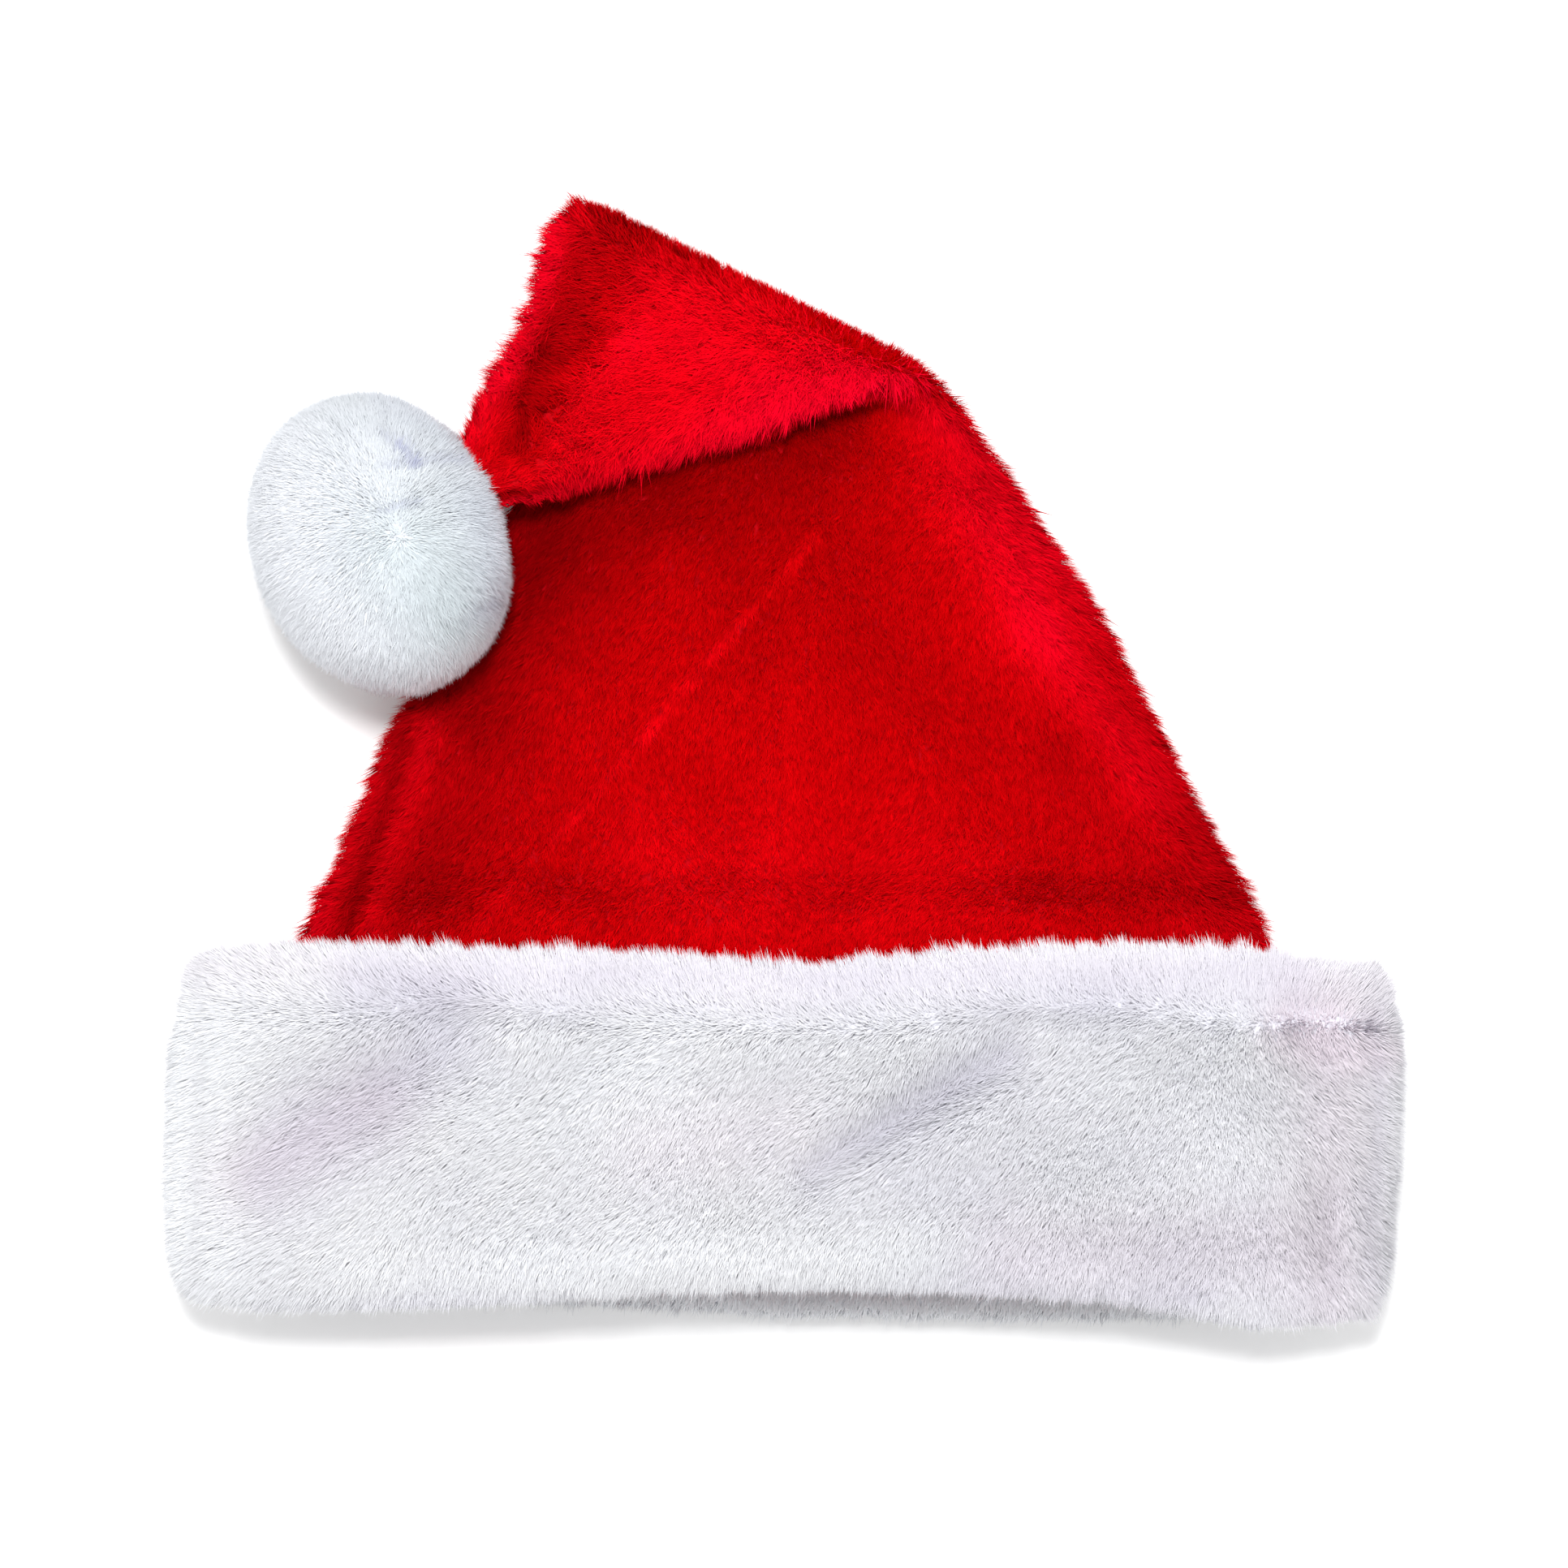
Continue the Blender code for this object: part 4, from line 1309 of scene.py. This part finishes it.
    def lattice(self, inset: float, finer: int, around: int) -> dict[str, np.ndarray]:
        """The lattice of the cuff's wall, that far inside its outer side.

        Args:
            inset: how far inside.
            finer: how many lattice lines there are for each line of the solid.
            around: how many points are in each line.

        Returns:
            The points, how far across, through and along the band each lies, how far in from its
            outer face it is as a share of the wall, and its pile's painted shade and its tint.
        """
        profile = np.array([(p.along, p.inset) for p in (*self.profile, self.profile[0])])
        real_size = profile * (self.tall, self.wall)
        closed = smooth_between(profile, real_size, [finer] * len(self.profile))[:-1]
        across, through = pillow(self.width / 2, self.thickness / 2, self.square, around)
        back = np.clip(0.5 - through, 0, 1)
        places = [e.x for e in self.edges]
        x0 = across * self.width / 2
        top = np.interp(x0, places, [e.top for e in self.edges])
        front_bottom = np.interp(x0, places, [e.bottom for e in self.edges])
        back_bottom = np.interp(x0, places, [e.back_bottom for e in self.edges])
        bottom = front_bottom * (1 - back) + back_bottom * back
        side_y = [s.y for s in self.sides]
        names = ("points", "across", "through", "along", "share", "tone", "blush")
        rows = {name: [] for name in names}
        half_height = (top - bottom) / 2
        for along, share in closed:
            outer = np.clip(1 - share, 0, 1)
            centred = (along - 0.5) * (1 - inset / half_height * outer)
            y = (top + bottom) / 2 + centred * 2 * half_height
            deep = share * self.wall + inset * outer
            left = np.interp(y, side_y, [s.left for s in self.sides]) + deep
            right = np.interp(y, side_y, [s.right for s in self.sides]) - deep
            x = (left + right) / 2 + across * (right - left) / 2
            z = self.thickness / 2 + through * (self.thickness / 2 - deep)
            depth = sum_of_lines(x, y, self.creases) + self.waves.at(x, y) * self.wave_depth
            lowered = np.clip(through, 0, 1) * outer * depth
            z = np.maximum(z - lowered, FOOT_RISE + (PRESSED * inset if share < 0.5 else 0.0))
            rows["points"].append(np.stack((x, y, z), axis=1))
            rows["across"].append(across)
            rows["through"].append(through)
            rows["along"].append(np.full_like(x, along))
            rows["share"].append(np.full_like(x, share))
            # Painted shade and light: the listed lines on the front, painted shade in dents and on
            # the back and inside, and painted light on the back's foot under the front's edge.
            front = np.clip(through * 3, 0, 1) * outer
            tone = front * sum_of_lines(x, y, self.painted_shading) + lowered / self.painted_shade_depth
            under = np.clip((0.2 - along) / 0.1, 0, 1) * np.clip(-through * 4, 0, 1)
            rows["tone"].append(np.clip(tone + 0.45 * (1 - front) - under, -1, 1))
            rows["blush"].append(np.clip(front * sum_of_lines(x, y, self.blushes), 0, 1))
        return {name: np.array(values) for name, values in rows.items()}

    def make_cloth(self) -> bpy.types.Object:
        """Makes the padded band under the pile.

        Returns:
            The band, a closed ring.
        """
        points = self.lattice(self.pile_depth, self.cloth_finer, self.cloth_around)["points"]
        closed = np.concatenate((points, points[:1]))
        made = mesh_object("cuff_band", closed.reshape(-1, 3), lattice_faces(*closed.shape[:2]))
        close_up(made)
        dress([made], WHITE_CLOTH)
        return made

    def nap(self, flat: dict[str, np.ndarray]) -> np.ndarray:
        """Which way the pile lies: towards the opening, and over the rim at the crown's side.

        Args:
            flat: the lattice's fields, each in one row.

        Returns:
            A direction for each point, longer where the nap is stronger.
        """
        along, across = flat["along"][:, 0], flat["across"][:, 0]
        x, y = flat["points"][:, 0], flat["points"][:, 1]
        edge = np.sign(across) * np.abs(across) ** 5
        # Near the rim it turns round, and there it runs less out over the two sides.
        turn = np.clip((along - 0.80) / 0.15, 0, 1)
        turned = turn**2 * (3 - 2 * turn)
        parting = 4 * turned * (1 - turned)
        foot = np.clip((0.16 - along) / 0.14, 0, 1)
        drift = self.drift_across.at(x, y)
        # All over it also leans to the left.
        nap_x = -0.45 + 0.25 * drift + (1 - 0.75 * parting) * edge + 0.1 * foot
        nap_y = -0.60 + 1.45 * turned - 0.5 * foot + 0.20 * self.drift_along.at(x, y)
        return np.stack((nap_x, nap_y, -0.6 * turned), axis=1)

    def height(self, flat: dict[str, np.ndarray], rim: np.ndarray) -> np.ndarray:
        """How high the pile stands: less inside the cuff, and in clumps, most of all on its rim.

        Args:
            flat: the lattice's fields, each in one row.
            rim: how far each point is on the rim at the crown's side, from 0 to 1.

        Returns:
            The height at each point.
        """
        x, y = flat["points"][:, 0], flat["points"][:, 1]
        outside = np.interp(flat["share"][:, 0], (0.0, 0.3, 1.0), (0.98, 0.92, 0.4))
        clumped = 1 + (0.10 + 0.16 * rim) * self.clumps.at(x, y)
        ruffled = 1 + 0.35 * flat["blush"][:, 0] * self.ruffles.at(x, y)
        return self.pile_depth * outside * (1 + 0.08 * rim) * clumped * ruffled

    def ground(self) -> tuple[Ground, dict[str, np.ndarray]]:
        """The band that the pile grows from.

        Returns:
            The ground, and the lattice's fields, each in one row.
        """
        found = self.lattice(self.pile_depth, self.finer, self.around)
        points = np.concatenate((found["points"], found["points"][:1]))
        rows, around = points.shape[:2]
        flat = {
            name: np.concatenate((values, values[:1])).reshape(rows * around, -1)
            for name, values in found.items()
        }
        rim = np.clip((flat["along"][:, 0] - self.rim_from) / self.rim_run, 0, 1)
        blush = np.clip(flat["blush"][:, 0] + self.rim_blush * rim, 0, 1)
        ground = Ground(
            points.reshape(-1, 3), triangles(lattice_faces(rows, around)),
            -outward_of(points).reshape(-1, 3), self.nap(flat), self.height(flat, rim),
            flat["tone"][:, 0], blush,
        )
        return ground, {name: values[:, 0] for name, values in flat.items() if name != "points"}

    def make_pile(self) -> list[bpy.types.Object]:
        """Grows the white pile, in five pieces.

        Returns:
            The pieces.
        """
        ground, at = self.ground()
        middle, through, along = ground.points[:, 0], at["through"], at["along"]
        outer, behind = at["share"] < self.outer_share, through < self.back_from
        front, back = outer & (through > self.front_until), outer & behind
        edges = (along < self.turned_in[0]) | (along > self.turned_in[1])
        inside = (at["share"] > self.inner_share) & edges
        below = behind & (along < self.below_until) & (np.abs(middle) < self.below_reach)
        grown = (
            ("cuff_pile_left", self.fur, front & (middle < self.halves[1]), 31),
            ("cuff_pile_right", self.fur, front & (middle > self.halves[0]), 32),
            ("cuff_pile_back", self.fur_behind, back, 33),
            ("cuff_pile_inside", self.fur_behind, inside, 34),
            ("cuff_pile_below", self.fur_below, below, 35),
        )
        pieces = [pile.grow(name, ground.picked(where), seed) for name, pile, where, seed in grown]
        dress(pieces, WHITE_PILE)
        return pieces

    def build(self) -> None:
        """Makes the cuff's pieces, lets them ride on the hat's body, and hides the cuff's solid."""
        band = self.make_cloth()
        self.carry([band, *self.make_pile()])
        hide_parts("cuff")


@dataclass
class Pompom(Part):
    """The white pompom: a ball of deep pile, gathered where the tip goes in."""

    across: tuple[float, float, float] = (0.0306, 0.0370, 0.0335)  # half its size each way
    centre: tuple[float, float, float] = (-0.0963, 0.0516, 0.0330)
    turned: float = math.radians(24)
    levels: int = 6  # how often the ball's faces are divided
    pile_depth: float = 3.4 * MM
    pressed: float = 0.5  # how much of the pile's depth is left on the floor
    painted_rim_shade: float = 0.12  # how much painted shade darkens its sides
    droop: float = 0.6  # how far the nap falls towards the opening
    front_from: float = 8.0 * MM  # how far above the middle its dents reach their full depth
    creases: tuple[SoftLine, ...] = (
        SoftLine((-0.0945, 0.0755), (-0.0872, 0.0683), 0.0022, 0.0036),
        SoftLine((-0.0948, 0.0662), (-0.0872, 0.0683), 0.0020, 0.0022),
        SoftLine((-0.0872, 0.0683), (-0.0800, 0.0692), 0.0022, 0.0010),
        SoftLine((-0.0940, 0.0572), (-0.0856, 0.0594), 0.0020, 0.0026),
        SoftLine((-0.0892, 0.0500), (-0.0892, 0.0504), 0.0060, 0.0018),
        SoftLine((-0.0800, 0.0330), (-0.0720, 0.0390), 0.0040, 0.0016),
    )
    # Lines of painted shade along the gathers, and of painted light where below 0, brightest on its
    # left side.
    painted_shading: tuple[SoftLine, ...] = (
        SoftLine((-0.0950, 0.0745), (-0.0905, 0.0720), 0.0010, 0.35),
        SoftLine((-0.0905, 0.0720), (-0.0872, 0.0683), 0.0009, 0.80),
        SoftLine((-0.0940, 0.0668), (-0.0872, 0.0683), 0.0009, 0.40),
        SoftLine((-0.0872, 0.0683), (-0.0780, 0.0695), 0.0010, 0.30),
        SoftLine((-0.0940, 0.0572), (-0.0866, 0.0594), 0.0007, 0.60),
        SoftLine((-0.0730, 0.0600), (-0.0690, 0.0400), 0.0070, 0.14),
        SoftLine((-0.0800, 0.0330), (-0.0720, 0.0390), 0.0030, 0.16),
        SoftLine((-0.0980, 0.0820), (-0.0760, 0.0760), 0.0070, 0.10),
        SoftLine((-0.1030, 0.0260), (-0.0850, 0.0220), 0.0110, -0.60),
        SoftLine((-0.1190, 0.0720), (-0.1120, 0.0330), 0.0160, -1.00),
    )
    blushes: tuple[SoftLine, ...] = (
        SoftLine((-0.0880, 0.0500), (-0.0800, 0.0380), 0.0100, 0.75),
    )
    knot: tuple[float, float, float] = (-0.0892, 0.0505, 0.0610)  # where its pile parts
    knot_size: float = 10.0 * MM
    waves: Waves = Waves(20 * MM, 4)
    wave_depth: float = 0.6 * MM
    clumps: Waves = Waves(7 * MM, 17)
    locks: Waves = Waves(3 * MM, 18)
    tufted: Place = (-0.0790, 0.0360)  # the middle of the place with longer tufts
    tufted_reach: Place = (0.0200, 0.0190)
    fur: Pile = Pile(
        density=14.0, width=0.34 * MM, lean=1.0, tuft=2, spread=0.7 * MM, gather=0.9, ruffle=0.9,
        roll=0.15, most=122_000, soft=0.90,
    )
    tufts: Pile = Pile(
        density=9.0, width=0.40 * MM, lean=1.6, tuft=6, spread=1.3 * MM, gather=0.45, ruffle=0.8,
        roll=0.2, most=22_000, soft=0.80,
    )

    def make_core(self) -> bpy.types.Object:
        """Makes the ball under the pile, dented by the gathers.

        Returns:
            The ball.
        """
        bpy.ops.object.select_all(action="DESELECT")
        bpy.ops.mesh.primitive_ico_sphere_add(subdivisions=self.levels, radius=1.0)
        made = bpy.context.active_object
        made.name = made.data.name = "pompom_core"
        stretch = Matrix.Diagonal((*(half - self.pile_depth for half in self.across), 1.0))
        place = Matrix.Translation(self.centre) @ Matrix.Rotation(self.turned, 4, "Z") @ stretch
        made.data.transform(place)
        points = points_of(made.data)
        x, y, z = points.T
        upper = np.clip((z - self.centre[2]) / self.front_from, 0, 1)
        depth = upper * sum_of_lines(x, y, self.creases) - self.wave_depth * self.waves.at(x, y + z)
        points -= unit(points - np.array(self.centre)) * depth[:, None]
        points[:, 2] = np.maximum(points[:, 2], FOOT_RISE + self.pressed * self.pile_depth)
        made.data.vertices.foreach_set("co", points.astype(np.float32).ravel())
        made.data.update()
        made.data.shade_smooth()
        return made

    def ground(self, core: bpy.types.Object) -> Ground:
        """The ball that the pile grows from.

        Args:
            core: the ball.

        Returns:
            The ground.
        """
        points = points_of(core.data)
        faces = np.empty(len(core.data.polygons) * 3, np.int32)
        core.data.polygons.foreach_get("vertices", faces)
        outward = unit((points - np.array(self.centre)) / np.array(self.across))
        x, y, z = points.T
        upper = np.clip((z - self.centre[2]) / self.front_from, 0, 1)
        from_knot = points - np.array(self.knot)
        nap = unit(from_knot) + np.array((0.0, -self.droop, 0.0))
        # Painted shade along the listed lines and towards its sides, and painted light where the
        # lines are below 0.
        rim = np.clip(1 - np.abs(outward[:, 2]), 0, 1) ** 2
        tone = upper * sum_of_lines(x, y, self.painted_shading) + self.painted_rim_shade * rim
        blush = upper * sum_of_lines(x, y, self.blushes)
        near_knot = np.exp(-(np.linalg.norm(from_knot, axis=1) / self.knot_size) ** 2)
        height = self.pile_depth * (1 - 0.20 * near_knot - 0.30 * np.clip(tone - 0.5, 0, 1))
        height = height * (1 + 0.05 * self.clumps.at(x + z, y))
        height = height * (1 + 0.09 * self.locks.at(x, y + z))
        tone, blush = np.clip(tone, -1, 1), np.clip(blush, 0, 1)
        return Ground(points, faces.reshape(-1, 3), outward, nap, height, tone, blush)

    def build(self) -> None:
        """Makes the pompom's pieces, lets them ride on the hat's body, and hides the pompom's
        solid.
        """
        core = self.make_core()
        dress([core], WHITE_CLOTH)
        ground = self.ground(core)
        x, y, z = ground.points.T
        aside = (x - self.tufted[0]) / self.tufted_reach[0]
        up = (y - self.tufted[1]) / self.tufted_reach[1]
        tufted = (np.hypot(aside, up) < 1) & (z > self.centre[2])
        pile = [
            self.fur.grow("pompom_pile", ground, 41),
            self.tufts.grow("pompom_tufts", ground.picked(tufted), 42),
        ]
        dress(pile, POMPOM_PILE)
        self.carry([core, *pile])
        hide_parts("pompom")


# The scene round it


@dataclass
class Studio:
    """The floor, the lights and the camera."""

    frame_width: float = 0.3744  # how much of the hat's middle plane the picture is wide
    distance: float = 1.5
    centre: tuple[float, float, float] = (-0.0002, -0.0056, 0.025)
    floor_size: float = 8.0
    floor_drop: float = 0.2 * MM  # how far it lies below the hat
    floor_colour: Colour = (0.93, 0.93, 0.935)
    floor_patches: Colour = (0.95, 0.95, 0.95)
    floor_glow: float = 0.02
    sky: float = 0.93
    key_place: tuple[float, float, float] = (-0.05, 0.42, 1.60)
    key_size: float = 0.35
    key_power: float = 26.5  # watts

    def make_floor(self) -> None:
        """Makes the pale floor."""
        bpy.ops.object.select_all(action="DESELECT")
        bpy.ops.mesh.primitive_plane_add(size=self.floor_size, location=(0, 0, -self.floor_drop))
        floor = bpy.context.active_object
        floor.name = "floor"
        paint = Paint("pale_floor")
        tone = paint.blend(paint.noise(3.0), self.floor_colour, self.floor_patches)
        constants = {
            "Roughness": 0.8,
            "Specular IOR Level": 0.1,
            "Emission Color": (1.0, 1.0, 1.0),
            "Emission Strength": self.floor_glow,
        }
        floor.data.materials.append(paint.finish(constants, base_color=tone))

    def make_key(self) -> None:
        """Makes the soft lamp above the hat, which points at it."""
        light = bpy.data.lights.new("key", "AREA")
        light.size = self.key_size
        light.energy = self.key_power
        lamp = bpy.data.objects.new("key", light)
        lamp.location = self.key_place
        lamp.rotation_euler = (-Vector(self.key_place)).to_track_quat("-Z", "Y").to_euler()
        bpy.context.scene.collection.objects.link(lamp)

    def make_sky(self) -> None:
        """Makes the even light all round."""
        world = bpy.data.worlds.new("studio")
        world.use_nodes = True
        background = world.node_tree.nodes["Background"]
        background.inputs["Color"].default_value = (1, 1, 1, 1)
        background.inputs["Strength"].default_value = self.sky
        bpy.context.scene.world = world

    def make_camera(self) -> None:
        """Makes the camera, straight above the hat."""
        data = bpy.data.cameras.new("camera")
        data.sensor_width = 36.0
        data.lens = data.sensor_width * self.distance / self.frame_width
        camera = bpy.data.objects.new("camera", data)
        x, y, z = self.centre
        camera.location = (x, y, z + self.distance)
        bpy.context.scene.collection.objects.link(camera)
        bpy.context.scene.camera = camera

    def build(self) -> None:
        """Makes the whole studio."""
        self.make_floor()
        self.make_sky()
        self.make_key()
        self.make_camera()
        bpy.context.scene.view_settings.view_transform = "Standard"


def main() -> None:
    """Builds the hat and the scene round it."""
    logging.basicConfig(level=logging.INFO, format="%(message)s")
    for part in (Crown(), Cuff(), Pompom()):
        part.build()
        for piece in part.pieces:
            LOG.info("%s: %d faces", piece.name, len(piece.data.polygons))
    Studio().build()


if __name__ == "__main__":
    main()
